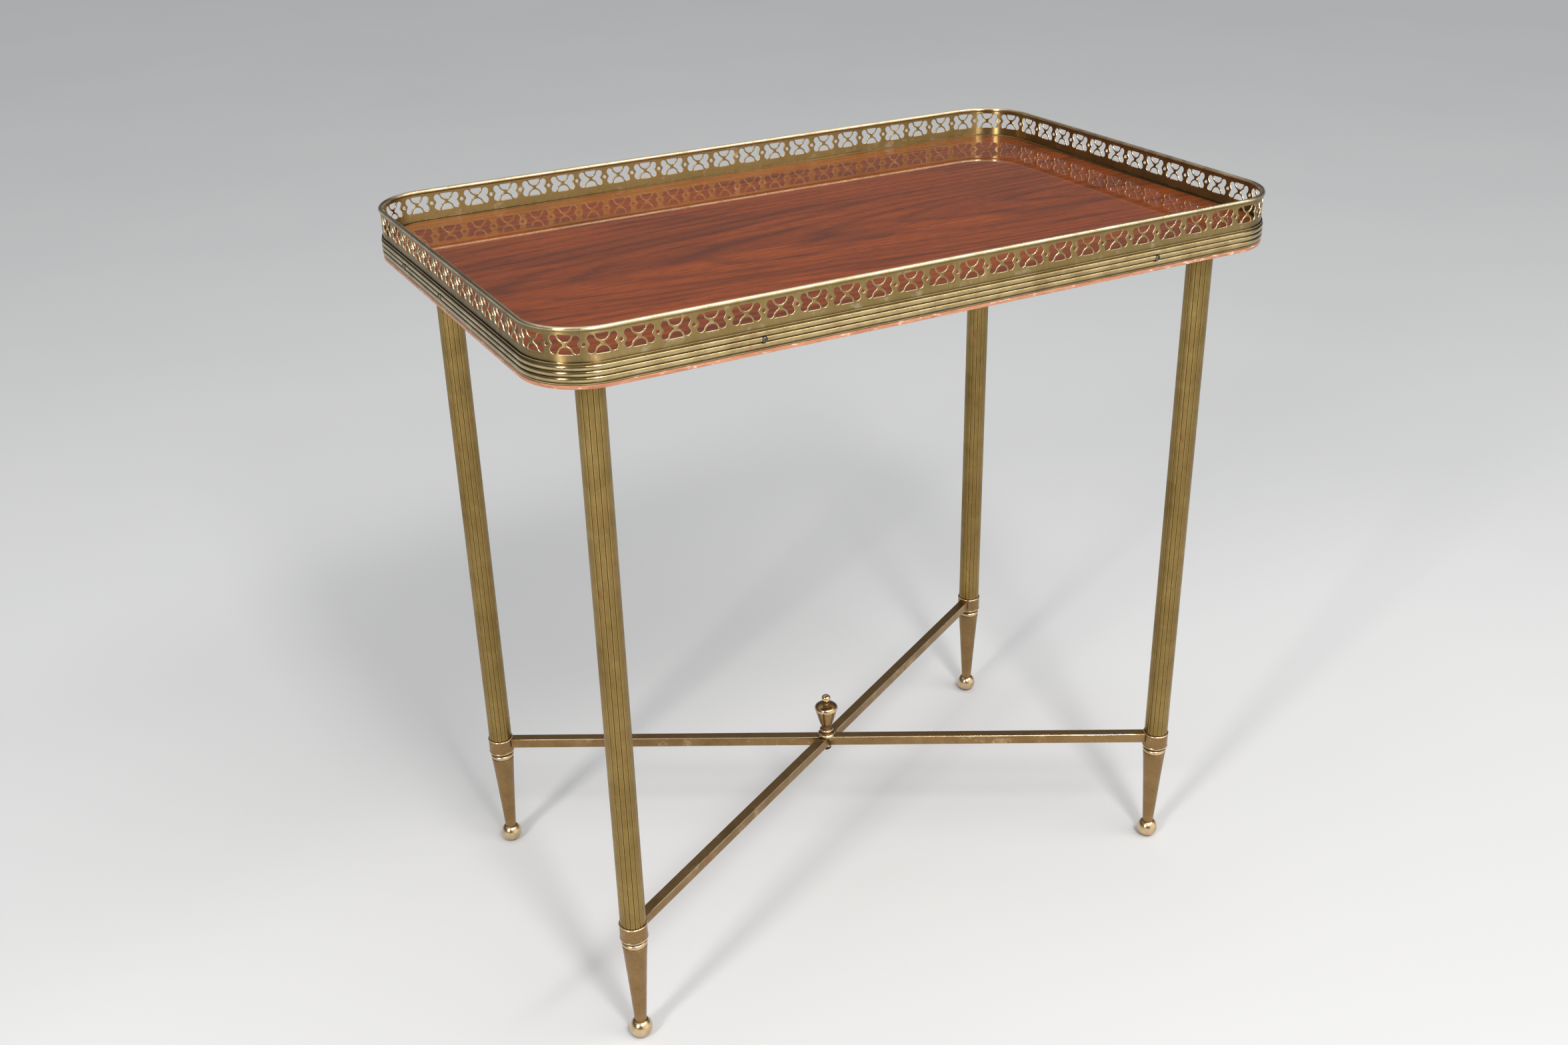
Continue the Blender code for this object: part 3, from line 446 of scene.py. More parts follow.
def add_piece(name, bm, material, replaced, axis=(0, 0), turn=0.0, smooth_angle=38):
    """Makes a finished shape a piece that rides with the table and stands for its frame nodes.

    The axis is where in X and Y the shape's own Z axis stands.
    """
    bmesh.ops.recalc_face_normals(bm, faces=bm.faces)
    mesh = bpy.data.meshes.new(name)
    bm.to_mesh(mesh)
    bm.free()
    mesh.shade_smooth()
    mesh.set_sharp_from_angle(angle=math.radians(smooth_angle))
    mesh.materials.append(MATERIALS[material])
    piece = bpy.data.objects.new(name, mesh)
    piece.location = (*axis, 0)
    piece.rotation_euler = (0, 0, turn)
    bpy.context.scene.collection.objects.link(piece)
    even = piece.modifiers.new("even_normals", "WEIGHTED_NORMAL")
    even.keep_sharp = True
    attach(piece, "root")
    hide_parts(*replaced)
    return piece


def arc(centre, radius, start, end, steps):
    """Points on an arc, with angles in degrees."""
    points = []
    for i in range(steps + 1):
        angle = math.radians(start + (end - start) * i / steps)
        points.append((centre[0] + radius * math.cos(angle), centre[1] + radius * math.sin(angle)))
    return points


# The rim

def rim_frame(distance):
    """Point and inward direction at a distance along the rim's outermost line."""
    distance %= RIM_LENGTH
    far_side = distance > RIM_LENGTH / 2
    walked = distance - RIM_LENGTH / 2 if far_side else distance
    inner_x = HALF_LENGTH - CORNER_RADIUS
    inner_y = HALF_WIDTH - CORNER_RADIUS
    first_turn = STRAIGHT_X / 2
    side_start = first_turn + QUARTER
    second_turn = side_start + STRAIGHT_Y
    back_start = second_turn + QUARTER
    if walked < first_turn:
        angle = 0.0
        x, y = walked, -HALF_WIDTH
    elif walked < side_start:
        angle = (walked - first_turn) / CORNER_RADIUS
        x = inner_x + CORNER_RADIUS * math.sin(angle)
        y = -inner_y - CORNER_RADIUS * math.cos(angle)
    elif walked < second_turn:
        angle = math.pi / 2
        x, y = HALF_LENGTH, walked - side_start - inner_y
    elif walked < back_start:
        angle = math.pi / 2 + (walked - second_turn) / CORNER_RADIUS
        x = inner_x + CORNER_RADIUS * math.sin(angle)
        y = inner_y - CORNER_RADIUS * math.cos(angle)
    else:
        angle = math.pi
        x, y = inner_x - (walked - back_start), HALF_WIDTH
    place = Vector((x, y, 0))
    inward = Vector((-math.sin(angle), math.cos(angle), 0))
    if far_side:
        return -place, -inward
    return place, inward


def on_rim(distance, inward_distance, height):
    place, inward = rim_frame(distance)
    return place + inward * inward_distance + Vector((0, 0, height))


def rim_marks(start, end, straight_step, corner_step):
    """Distances from start to end: close together round the corners, wider on the straights."""
    marks = [start, end]
    for lap in range(-2, 4):
        base = lap * RIM_LENGTH / 2
        runs = (
            (base - STRAIGHT_X / 2, STRAIGHT_X, straight_step),
            (base + STRAIGHT_X / 2, QUARTER, corner_step),
            (base + STRAIGHT_X / 2 + QUARTER, STRAIGHT_Y, straight_step),
            (base + STRAIGHT_X / 2 + QUARTER + STRAIGHT_Y, QUARTER, corner_step),
        )
        for begin, length, step in runs:
            count = math.ceil(length / step)
            marks += [begin + length * i / count for i in range(count)]
    kept = sorted(mark for mark in marks if start <= mark <= end)
    spaced = [kept[0]]
    for mark in kept[1:]:
        if mark - spaced[-1] > 0.05 * MM:
            spaced.append(mark)
    return spaced


def sweep_rim(bm, layer, profile, marks, close_ring, close_path=False):
    """A profile of (inward distance, height, relief) carried along the rim."""
    rings = []
    for mark in marks:
        ring = []
        for inward_distance, height, relief in profile:
            ring.append(add_point(bm, layer, on_rim(mark, inward_distance, height), relief))
        rings.append(ring)
    loft(bm, rings, close_ring, close_path)
    return rings


# Pierced gallery

def right_heart():
    """The heart-shaped opening right of a unit's middle, counter-clockwise, its tip to the left."""
    rib_to_lobe = LOBE - Vector((0, MOTIF_HALF))
    meet = math.degrees(math.atan2(rib_to_lobe.y, rib_to_lobe.x))
    tip = arc((TIP_CENTRE, 0), TIP_RADIUS, 180, 112, 4)
    rib = arc((0, MOTIF_HALF), RIB_OUTER, -64, meet - 3, 8)
    lobe = arc(LOBE, LOBE_RADIUS, meet + 177, -30, 16)
    cusp = [(CUSP + 0.10 * MM, 0.20 * MM)]
    upper = tip + rib + lobe + cusp
    lower = [(u, -v) for u, v in reversed(upper[1:])]
    return list(reversed(upper + [(CUSP, 0.0)] + lower))


def half_moon(side):
    """The half-moon above or below a unit's middle, its straight side away from the middle."""
    corner = 0.35 * MM
    shoulder = MOTIF_HALF - 0.08 * MM
    points = arc((0, MOTIF_HALF), MOON_RADIUS, 186, 354, 22)
    points += [(MOON_RADIUS, shoulder), (MOON_RADIUS - corner, MOTIF_HALF), (0, MOTIF_HALF)]
    points += [(corner - MOON_RADIUS, MOTIF_HALF), (-MOON_RADIUS, shoulder)]
    if side > 0:
        return points
    return [(u, -v) for u, v in reversed(points)]


def cell_openings():
    """The outlines of one unit's five openings, each counter-clockwise."""
    heart = right_heart()
    mirrored = [(-u, v) for u, v in reversed(heart)]
    hole = arc((-PITCH / 2, 0), HOLE_RADIUS, 0, 360, 18)[:-1]
    return [half_moon(1), half_moon(-1), heart, mirrored, hole]


def widened(loop, offset):
    """A counter-clockwise loop with each point moved outward along its corner's bisector."""
    sharpest = 0.2
    longest = 1.5
    moved = []
    for i, here in enumerate(loop):
        before = Vector(here) - Vector(loop[i - 1])
        after = Vector(loop[(i + 1) % len(loop)]) - Vector(here)
        first = Vector((before.y, -before.x)).normalized()
        second = Vector((after.y, -after.x)).normalized()
        bisector = (first + second).normalized()
        reach = min(1.0 / max(bisector.dot(first), sharpest), longest)
        moved.append(tuple(Vector(here) + bisector * offset * reach))
    return moved


def inside(point, loop):
    """Whether a point lies within a loop, by counting the sides to its right."""
    u, v = point
    found = False
    for i, (u1, v1) in enumerate(loop):
        u0, v0 = loop[i - 1]
        if (v1 > v) != (v0 > v) and u < (u0 - u1) * (v - v1) / (v0 - v1) + u1:
            found = not found
    return found


def plate_cell(low, high):
    """One repeat of the plate's flat face: its points, triangles and opening outlines."""
    openings = cell_openings()
    rims = [widened(loop, EDGE_ROUND) for loop in openings]
    columns = [CELL_START + PITCH * i / UNIT_STEPS for i in range(UNIT_STEPS + 1)]
    row_count = 11
    rows = [low + (high - low) * i / row_count for i in range(row_count + 1)]
    border = [(u, low) for u in columns[:-1]] + [(columns[-1], v) for v in rows[:-1]]
    border += [(u, high) for u in reversed(columns[1:])] + [(columns[0], v) for v in reversed(rows[1:])]
    points = list(border)
    edges = [(i, (i + 1) % len(border)) for i in range(len(border))]
    for loop in rims:
        base = len(points)
        edges += [(base + i, base + (i + 1) % len(loop)) for i in range(len(loop))]
        points += loop
    clear = 0.5 * MM
    rim_points = [Vector(point) for loop in rims for point in loop]
    for u in columns[1:-1]:
        for v in rows[1:-1]:
            spot = Vector((u, v))
            if any(inside(spot, loop) for loop in rims):
                continue
            if min((spot - other).length for other in rim_points) > clear:
                points.append((u, v))
    places, _, triangles, _, _, _ = delaunay_2d_cdt([Vector(p) for p in points], edges, [], 0, 1e-8)
    kept = []
    for triangle in triangles:
        middle = sum((places[i] for i in triangle), Vector((0, 0))) / 3
        if not any(inside(middle, loop) for loop in rims):
            kept.append(tuple(triangle))
    return [tuple(place) for place in places], kept, openings


def edge_levels():
    """For each ring round an opening: its distance from it, its depth in the plate, its relief."""
    # The rings brighten over the round-over to full edge along the wall: wear on the edges, and painted
    # highlight on the opening walls.
    reliefs = (PLAIN, 0.6, 0.9, EDGE, EDGE)
    front = []
    for i, relief in enumerate(reliefs):
        angle = math.pi / 2 * i / (len(reliefs) - 1)
        offset = EDGE_ROUND * (1 - math.sin(angle))
        front.append((offset, EDGE_ROUND * (1 - math.cos(angle)), relief))
    back = [(offset, PLATE_THICKNESS - depth, relief) for offset, depth, relief in reversed(front)]
    return front + back


def bead_profile(entry_height):
    """From the plate's outer face over the rolled bead to its inner face."""
    middle = (PLATE_OUTER + PLATE_INNER) / 2
    centre = RIM_TOP - BEAD_RADIUS
    entry = math.degrees(math.asin(PLATE_THICKNESS / 2 / BEAD_RADIUS))
    rolled = arc((middle, centre), BEAD_RADIUS, 270 - entry, entry - 90, 22)[1:-1]
    profile = [(PLATE_OUTER, entry_height, PLAIN)]
    for inward, height in rolled:
        # The top of the bead is set bright as wear, its underside low as painted shade.
        relief = EDGE if height > centre else 0.25
        profile.append((inward, height, relief))
    return profile + [(PLATE_INNER, entry_height, PLAIN)]


def foot_profile(low_height):
    """From the plate's outer face down behind the band and back up over the foot flange."""
    base = BOARD_TOP - FLANGE_REBATE + GAP
    tip = PLATE_INNER + FLANGE_WIDTH
    return [
        (PLATE_OUTER, low_height, PLAIN),
        (PLATE_OUTER, PLATE_BOTTOM, RECESS),
        (PLATE_INNER, PLATE_BOTTOM, RECESS),
        (PLATE_INNER, base, RECESS),
        (tip, base, RECESS),
        (tip, base + 0.40 * MM, 0.1),
        (tip - 0.12 * MM, base + 0.62 * MM, 0.2),
        (tip - 0.35 * MM, base + 0.74 * MM, 0.2),
        (PLATE_INNER + 0.55 * MM, base + 0.86 * MM, 0.1),
        (PLATE_INNER + 0.18 * MM, base + 0.98 * MM, RECESS),
        (PLATE_INNER, low_height, 0.2),
    ]


def make_gallery():
    """Two lengths of pierced plate with a rolled bead at the top and a flange at the foot."""
    entry = math.sqrt(BEAD_RADIUS ** 2 - (PLATE_THICKNESS / 2) ** 2)
    high = RIM_TOP - BEAD_RADIUS - entry
    low = BOARD_TOP - FLANGE_REBATE + GAP + 1.2 * MM
    places, triangles, openings = plate_cell(low - MOTIF_HEIGHT, high - MOTIF_HEIGHT)
    levels = edge_levels()
    rings = [[widened(loop, offset) for offset, depth, relief in levels] for loop in openings]
    first, second = GALLERY_SEAMS
    lengths = (("gallery_front", second - UNITS, first), ("gallery_back", first, second))
    for name, start_unit, end_unit in lengths:
        bm, layer = new_shape()
        shift = CELL_START + PITCH / 2
        start = start_unit * PITCH + shift + SEAM / 2
        end = end_unit * PITCH + shift - SEAM / 2

        def held(distance):
            return min(max(distance, start), end)

        for unit in range(start_unit, end_unit):
            middle = (unit + 0.5) * PITCH
            for depth, flip in ((PLATE_OUTER, False), (PLATE_INNER, True)):
                face_points = []
                for u, v in places:
                    point = on_rim(held(middle + u), depth, MOTIF_HEIGHT + v)
                    near_foot = 0.38 if v < -1.25 * MOTIF_HALF else PLAIN
                    face_points.append(add_point(bm, layer, point, near_foot))
                for triangle in triangles:
                    order = reversed(triangle) if flip else triangle
                    bm.faces.new([face_points[i] for i in order])
            for loops in rings:
                walls = []
                for loop, (offset, depth, relief) in zip(loops, levels):
                    wall = []
                    for u, v in loop:
                        point = on_rim(held(middle + u), PLATE_OUTER + depth, MOTIF_HEIGHT + v)
                        wall.append(add_point(bm, layer, point, relief))
                    walls.append(wall)
                loft(bm, walls)
        steps = (end_unit - start_unit) * UNIT_STEPS
        marks = [held(start_unit * PITCH + shift + PITCH * i / UNIT_STEPS) for i in range(steps + 1)]
        sweep_rim(bm, layer, bead_profile(high), marks, close_ring=False)
        sweep_rim(bm, layer, foot_profile(low), marks, close_ring=False)
        bmesh.ops.remove_doubles(bm, verts=bm.verts, dist=0.004 * MM)
        open_edges = [edge for edge in bm.edges if edge.is_boundary]
        bmesh.ops.holes_fill(bm, edges=open_edges, sides=0)
        add_piece("pierced_" + name, bm, "gallery_brass", [name])


# Reeded band

def band_profile():
    """Lip, cove, three half-round reeds and a narrow fillet, on a flat back."""
    fillet = ((1.02, 0.0, 0.4), (0.80, 0.10, 0.9), (0.70, 0.34, EDGE), (0.76, 0.62, 0.9),
              (0.98, 0.86, 0.45), (1.06, 1.15, 0.30))
    profile = [(BAND_BACK, BAND_BOTTOM, RECESS), (BAND_BACK, BAND_TOP, RECESS)]
    profile += [(inward * MM, BAND_TOP - drop * MM, relief) for inward, drop, relief in fillet]
    profile.append((1.08 * MM, TOP_REED + REED_PITCH / 2 + 0.12 * MM, 0.1))
    half = REED_PITCH / 2 - 0.06 * MM
    steps = 14
    for reed in range(3):
        centre = TOP_REED - reed * REED_PITCH
        for i in range(steps + 1):
            angle = math.pi * i / steps
            proud = math.sin(angle)
            # The cosine term sets each reed's upper flank brighter as painted highlight and its lower
            # flank darker as painted shade; the crest is set bright as wear.
            relief = max(0.0, min(1.0, 1.15 * proud - 0.15 + 0.30 * math.cos(angle)))
            inward = REED_DEPTH * (1 - proud) + 0.02 * MM
            profile.append((inward, centre + half * math.cos(angle), relief))
    foot = ((0.98, 0.95, 0.2), (0.80, 0.80, 0.8), (0.74, 0.50, EDGE), (0.78, 0.15, 0.8), (0.95, 0.0, 0.3))
    profile += [(inward * MM, BAND_BOTTOM + rise * MM, relief) for inward, rise, relief in foot]
    return profile


def make_reeded_band():
    first, second = BAND_SEAMS
    spans = (("reeded_band_front", second - RIM_LENGTH, first), ("reeded_band_back", first, second))
    for name, start, end in spans:
        bm, layer = new_shape()
        marks = rim_marks(start + SEAM / 2, end - SEAM / 2, 8 * MM, 1.4 * MM)
        rings = sweep_rim(bm, layer, band_profile(), marks, close_ring=True)
        bm.faces.new(rings[0])
        bm.faces.new(rings[-1])
        add_piece("moulded_" + name, bm, "band_brass", [name])


# Top board

def make_top_board():
    """Polished board with rounded arrises and a worn lip, each face with its own finish."""
    lip_top = BAND_BOTTOM - GAP
    rebate = BOARD_TOP - FLANGE_REBATE
    soft = 0.45 * MM
    fine = 0.22 * MM
    low_edge = arc((LIP_INSET + soft, BOARD_BOTTOM + soft), soft, 270, 180, 4)
    lip_edge = arc((LIP_INSET + fine, lip_top - fine), fine, 180, 90, 3)
    field_edge = arc((FIELD_INSET + soft, BOARD_TOP - soft), soft, 180, 90, 5)
    steps = [(BOARD_INSET, lip_top), (BOARD_INSET, rebate), (FIELD_INSET, rebate)]
    profile = [(x, z, PLAIN) for x, z in low_edge + lip_edge + steps + field_edge]
    bm, layer = new_shape()
    marks = rim_marks(0.0, RIM_LENGTH - 0.1 * MM, 30 * MM, 2.0 * MM)
    rings = sweep_rim(bm, layer, profile, marks, close_ring=False, close_path=True)
    bm.faces.new([ring[-1] for ring in rings])
    bm.faces.new([ring[0] for ring in rings])
    piece = add_piece("mahogany_top", bm, "mahogany", ["top_board"], smooth_angle=30)
    piece.data.materials.append(MATERIALS["wood_edge"])
    piece.data.materials.append(MATERIALS["wood_underside"])
    for face in piece.data.polygons:
        if face.normal.z < -0.9:
            face.material_index = 2
        elif face.center.z < BAND_BOTTOM:
            face.material_index = 1


# Pins

def make_pins():
    """Round-headed steel pins through the middle reed, each a little domed."""
    head_radius = 2.05 * MM
    dome_height = 1.5 * MM
    shank_radius = 0.7 * MM
    head_depth = 1.75 * MM
    dome_steps = 12
    profile = [(0.0, -12.4 * MM, PLAIN), (shank_radius, -11.0 * MM, PLAIN)]
    profile += [(shank_radius, -head_depth, RECESS), (1.5 * MM, -head_depth, RECESS)]
    profile.append((1.95 * MM, -1.70 * MM, 0.2))
    for i in range(dome_steps):
        rise = math.pi / 2 * i / dome_steps
        radius = head_radius * math.cos(rise) ** 0.45
        profile.append((radius, dome_height * (math.sin(rise) - 1), 0.4 + 0.6 * math.sin(rise)))
    profile.append((0.0, 0.0, EDGE))
    for number in range(1, 9):
        node = "gallery_pin_%02d" % number
        low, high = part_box(node)
        middle = (low + high) / 2
        axis = 1 if high.y - low.y > high.x - low.x else 0
        outward = Vector((0, 0, 0))
        outward[axis] = math.copysign(1, middle[axis])
        head = Vector(middle)
        head[axis] = outward[axis] * max(abs(high[axis]), abs(low[axis]))
        bm = turned(profile, 28)
        align = outward.to_track_quat("Z", "Y").to_matrix().to_4x4()
        bmesh.ops.transform(bm, matrix=Matrix.Translation(head) @ align, verts=bm.verts)
        add_piece("pin_%02d" % number, bm, "steel", [node])


# Turned pieces

def turned(profile, steps=ROUND_STEPS):
    """A profile of (radius, height, relief) turned about Z, closed at the axis or back on itself."""
    bm, layer = new_shape()
    columns = []
    on_axis = {}
    for j, (radius, height, relief) in enumerate(profile):
        if radius < 0.01 * MM:
            on_axis[j] = add_point(bm, layer, (0, 0, height), relief)
    for i in range(steps):
        angle = math.tau * i / steps
        column = []
        for j, (radius, height, relief) in enumerate(profile):
            if j in on_axis:
                column.append(on_axis[j])
            else:
                place = (radius * math.cos(angle), radius * math.sin(angle), height)
                column.append(add_point(bm, layer, place, relief))
        columns.append(column)
    closed = not on_axis
    count = len(profile) if closed else len(profile) - 1
    for i in range(steps):
        here = columns[i]
        there = columns[(i + 1) % steps]
        for j in range(count):
            k = (j + 1) % len(profile)
            corners = []
            for point in (here[j], here[k], there[k], there[j]):
                if point not in corners:
                    corners.append(point)
            if len(corners) > 2:
                bm.faces.new(corners)
    return bm


def flowing(points, steps=5):
    """A smooth curve through (radius, height, relief) points, with steps between each two."""
    smooth = []
    for i in range(len(points) - 1):
        before = points[max(i - 1, 0)]
        here = points[i]
        there = points[i + 1]
        after = points[min(i + 2, len(points) - 1)]
        for k in range(steps):
            t = k / steps
            place = []
            for a, b, c, d in zip(before, here, there, after):
                bend = 2 * a - 5 * b + 4 * c - d
                twist = 3 * b - a - 3 * c + d
                place.append(0.5 * (2 * b + (c - a) * t + bend * t * t + twist * t ** 3))
            smooth.append((max(place[0], 0.0), place[1], min(max(place[2], 0.0), 1.0)))
    return smooth + [points[-1]]


def make_leg_tube(name):
    """A drawn tube with sixteen shallow reeds parted by narrow grooves, dirty at the bottom."""
    node = "leg_tube_" + name
    low, high, centre, outer = seat(node)
    bore = outer - TUBE_WALL
    chamfer = 0.2 * MM
    end_step = 0.25 * MM
    spans = 40
    section = []
    flute = (
        (-1.00, 0.56, RECESS), (-0.94, 0.46, 0.05), (-0.88, 0.22, 0.50), (-0.80, 0.15, 0.90),
        (-0.60, 0.09, 0.70), (-0.30, 0.02, PLAIN), (0.00, 0.00, PLAIN), (0.30, 0.02, PLAIN),
        (0.60, 0.09, 0.70), (0.80, 0.15, 0.90), (0.88, 0.22, 0.50), (0.94, 0.46, 0.05),
    )
    half = math.pi / FLUTES
    for i in range(FLUTES):
        for turn, drop, relief in flute:
            section.append((2 * half * i + half * turn, outer - drop * MM, relief))
    chamfered = [(angle, radius - chamfer, relief) for angle, radius, relief in section]
    inner = [(angle, bore, RECESS) for angle, _, _ in section]
    length = high.z - low.z
    levels = [(0.0, chamfered), (end_step, section)]
    levels += [(length * i / spans, section) for i in range(1, spans)]
    levels += [(length - end_step, section), (length, chamfered), (length, inner), (0.0, inner)]
    bm, layer = new_shape()
    rings = []
    for height, points in levels:
        ring = []
        for angle, radius, relief in points:
            place = (radius * math.cos(angle), radius * math.sin(angle), low.z + height)
            ring.append(add_point(bm, layer, place, relief))
        rings.append(ring)
    loft(bm, rings, close_path=True)
    add_piece("fluted_" + node, bm, "leg_brass", [node], centre.xy)


def make_collar(name):
    """A turned ring between tube and foot, with a proud bead above and below."""
    node = "collar_" + name
    low, high, centre, outer = seat(node)
    base = low.z
    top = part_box("leg_tube_" + name)[0].z - GAP
    spigot = 7.4 * MM
    socket = 6.3 * MM
    socket_top = base + 4.6 * MM
    upper = ((-0.85, 0.05, 0.5), (-0.40, 0.0, EDGE), (-0.05, -0.12, EDGE), (0.16, -0.35, EDGE),
             (0.20, -0.60, EDGE), (0.10, -0.90, 0.7), (-0.08, -1.10, 0.2), (-0.10, -1.6, PLAIN))
    lower = ((-0.10, 2.1, PLAIN), (-0.08, 1.60, 0.2), (0.10, 1.38, EDGE), (0.25, 1.05, EDGE),
             (0.28, 0.70, EDGE), (0.14, 0.32, 0.9), (-0.20, 0.08, 0.7), (-1.0, 0.0, RECESS))
    profile = [(ROD_BORE, high.z, RECESS), (spigot, high.z, RECESS), (spigot, top, RECESS)]
    profile += [(outer + proud * MM, top + rise * MM, relief) for proud, rise, relief in upper]
    profile.append((outer - 0.10 * MM, (top + base) / 2, PLAIN))
    profile += [(outer + proud * MM, base + rise * MM, relief) for proud, rise, relief in lower]
    profile += [(socket, base, RECESS), (socket, socket_top, RECESS), (ROD_BORE, socket_top, RECESS)]
    bm = turned(profile)
    add_piece("turned_" + node, bm, "aged_brass", [node], centre.xy)


def make_foot(name):
    """Groove, bead, long taper and ball, turned in one, with a blind bore for the tie rod."""
    node = "foot_" + name
    high, centre = seat(node)[1:3]
    bore_end = 60 * MM
    plug = 6.0 * MM
    shoulder = high.z - 4.0 * MM
    ankle_height = BALL_CENTRE + math.sqrt(BALL_RADIUS ** 2 - ANKLE_RADIUS ** 2)
    bead = arc((7.55 * MM, 87.4 * MM), 2.0 * MM, 78, -62, 12)
    taper_top = bead[-1][1] - 0.35 * MM
    taper_steps = 24
    taper = []
    for i in range(taper_steps + 1):
        t = i / taper_steps
        radius = TAPER_RADIUS + (ANKLE_RADIUS - TAPER_RADIUS) * t ** 0.9
        height = taper_top + (ankle_height + 0.5 * MM - taper_top) * t
        taper.append((radius, height, 0.62 if i < 2 else PLAIN))
    ankle_angle = math.degrees(math.acos(ANKLE_RADIUS / BALL_RADIUS))
    flat_angle = math.degrees(math.asin(BALL_CENTRE / BALL_RADIUS))
    globe = arc((0, BALL_CENTRE), BALL_RADIUS, ankle_angle - 3, -flat_angle, 26)
    profile = [(0.0, bore_end, RECESS), (ROD_BORE, bore_end, RECESS), (ROD_BORE, high.z, RECESS)]
    profile += [(plug, high.z, RECESS), (plug, shoulder, RECESS), (8.9 * MM, shoulder, 0.2)]
    profile += [(8.5 * MM, shoulder - 0.5 * MM, 0.05), (8.3 * MM, shoulder - 1.0 * MM, RECESS)]
    profile += [(x, z, 0.95 if i > 1 else 0.3) for i, (x, z) in enumerate(bead)]
    profile.append((taper[0][0] - 0.25 * MM, taper_top + 0.12 * MM, 0.15))
    profile += taper
    profile.append((ANKLE_RADIUS + 0.02 * MM, globe[0][1] + 0.12 * MM, 0.1))
    profile += [(x, z, 0.9 if z > 3 * MM else 0.3) for x, z in globe[1:]]
    profile.append((0.0, 0.0, RECESS))
    bm = turned(profile)
    add_piece("turned_" + node, bm, "aged_brass", [node], centre.xy)


def make_finial():
    """An urn: stepped foot, ring, waist, flared body with a bright shoulder, neck and knob."""
    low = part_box("finial")[0]
    outline = (
        (6.9, 0.0, 0.4), (7.15, 0.7, 0.9), (7.10, 1.7, 1.0), (6.5, 2.45, 0.8), (5.3, 3.1, 0.1),
        (4.75, 3.9, 0.1), (5.25, 4.5, 0.8), (5.60, 5.4, 1.0), (5.2, 6.3, 0.8), (4.2, 6.9, 0.1),
        (3.8, 8.0, 0.2), (3.8, 9.4, 0.2), (4.5, 10.5, 0.4), (5.3, 11.9, 0.6), (6.5, 16.0, 0.5),
        (7.8, 20.5, 0.5), (8.9, 24.2, 0.6), (9.65, 25.9, 1.0), (9.55, 27.0, 1.0), (8.5, 28.5, 0.7),
        (6.2, 29.8, 0.5), (3.6, 30.5, 0.2), (2.7, 31.3, 0.1), (2.6, 32.4, 0.2), (3.3, 33.6, 0.8),
        (3.9, 35.3, 1.0), (3.3, 37.2, 0.9), (1.8, 38.25, 0.9), (0.0, 38.5, 0.9),
    )
    body = flowing([(r * MM, h * MM, relief) for r, h, relief in outline])
    bore_end = 12.0 * MM
    bore = [(0.0, bore_end, RECESS), (STUD_BORE, bore_end, RECESS), (STUD_BORE, 0.0, RECESS)]
    profile = [(r, low.z + h, relief) for r, h, relief in bore + body]
    bm = turned(profile)
    add_piece("urn_finial", bm, "aged_brass", ["finial"])


# Stretcher

def cut(bm, cutter, operation="DIFFERENCE"):
    """The shape cut by or joined to another, with its relief kept."""
    meshes = []
    for shape in (bm, cutter):
        bmesh.ops.recalc_face_normals(shape, faces=shape.faces)
        mesh = bpy.data.meshes.new("cut")
        shape.to_mesh(mesh)
        shape.free()
        meshes.append(mesh)
    base, tool = (bpy.data.objects.new("cut", mesh) for mesh in meshes)
    bpy.context.scene.collection.objects.link(base)
    bpy.context.scene.collection.objects.link(tool)
    step = base.modifiers.new("cut", "BOOLEAN")
    step.operation = operation
    step.solver = "EXACT"
    step.object = tool
    bpy.context.view_layer.update()
    made = bpy.data.meshes.new_from_object(base.evaluated_get(bpy.context.evaluated_depsgraph_get()))
    bpy.data.objects.remove(base)
    bpy.data.objects.remove(tool)
    result = bmesh.new()
    result.from_mesh(made)
    bmesh.ops.dissolve_degenerate(result, dist=0.001 * MM, edges=result.edges)
    return result


def rounded_bar(reach, size, low, collar_radius, corner):
    """A square bar along X, its corners rounded and its ends hollowed to fit round the collars."""
    half = size / 2
    section = []
    for cy, cz, start in ((1, 1, 0), (-1, 1, 90), (-1, -1, 180), (1, -1, 270)):
        centre = (cy * (half - corner), cz * (half - corner))
        for i, (y, z) in enumerate(arc(centre, corner, start, start + 90, 4)):
            # Top arrises set brighter than the lower ones: wear, and painted highlight.
            wear_and_highlight = EDGE if cz > 0 else 0.75
            section.append((y, low + half + z, wear_and_highlight if 0 < i < 4 else 0.62))
        if cy == cz:
            section.append((0.0, low + half + cz * half, PLAIN))
        else:
            section.append((cy * half, low + half, PLAIN))
    bm, layer = new_shape()
    rings = []
    steps = 44
    for i in range(steps + 1):
        share = 2 * i / steps - 1
        ring = []
        for y, z, relief in section:
            end = reach - math.sqrt(collar_radius ** 2 - y ** 2)
            near_end = 0.25 if i in (0, steps) else relief
            ring.append(add_point(bm, layer, (share * end, y, z), near_end))
        rings.append(ring)
    loft(bm, rings)
    bm.faces.new(rings[0])
    bm.faces.new(rings[-1])
    return bm


def block(size, place, turn=0.0):
    bm = new_shape()[0]
    matrix = Matrix.Translation(place) @ Matrix.Rotation(turn, 4, "Z") @ Matrix.Diagonal((*size, 1))
    bmesh.ops.create_cube(bm, size=1.0, matrix=matrix)
    return bm


def drum(radius, depth, place, steps=32, second_radius=None):
    """A cylinder, or a cone if its upper radius is given."""
    bm = new_shape()[0]
    top = radius if second_radius is None else second_radius
    bmesh.ops.create_cone(bm, cap_ends=True, segments=steps, radius1=radius, radius2=top, depth=depth,
                          matrix=Matrix.Translation(place))
    return bm


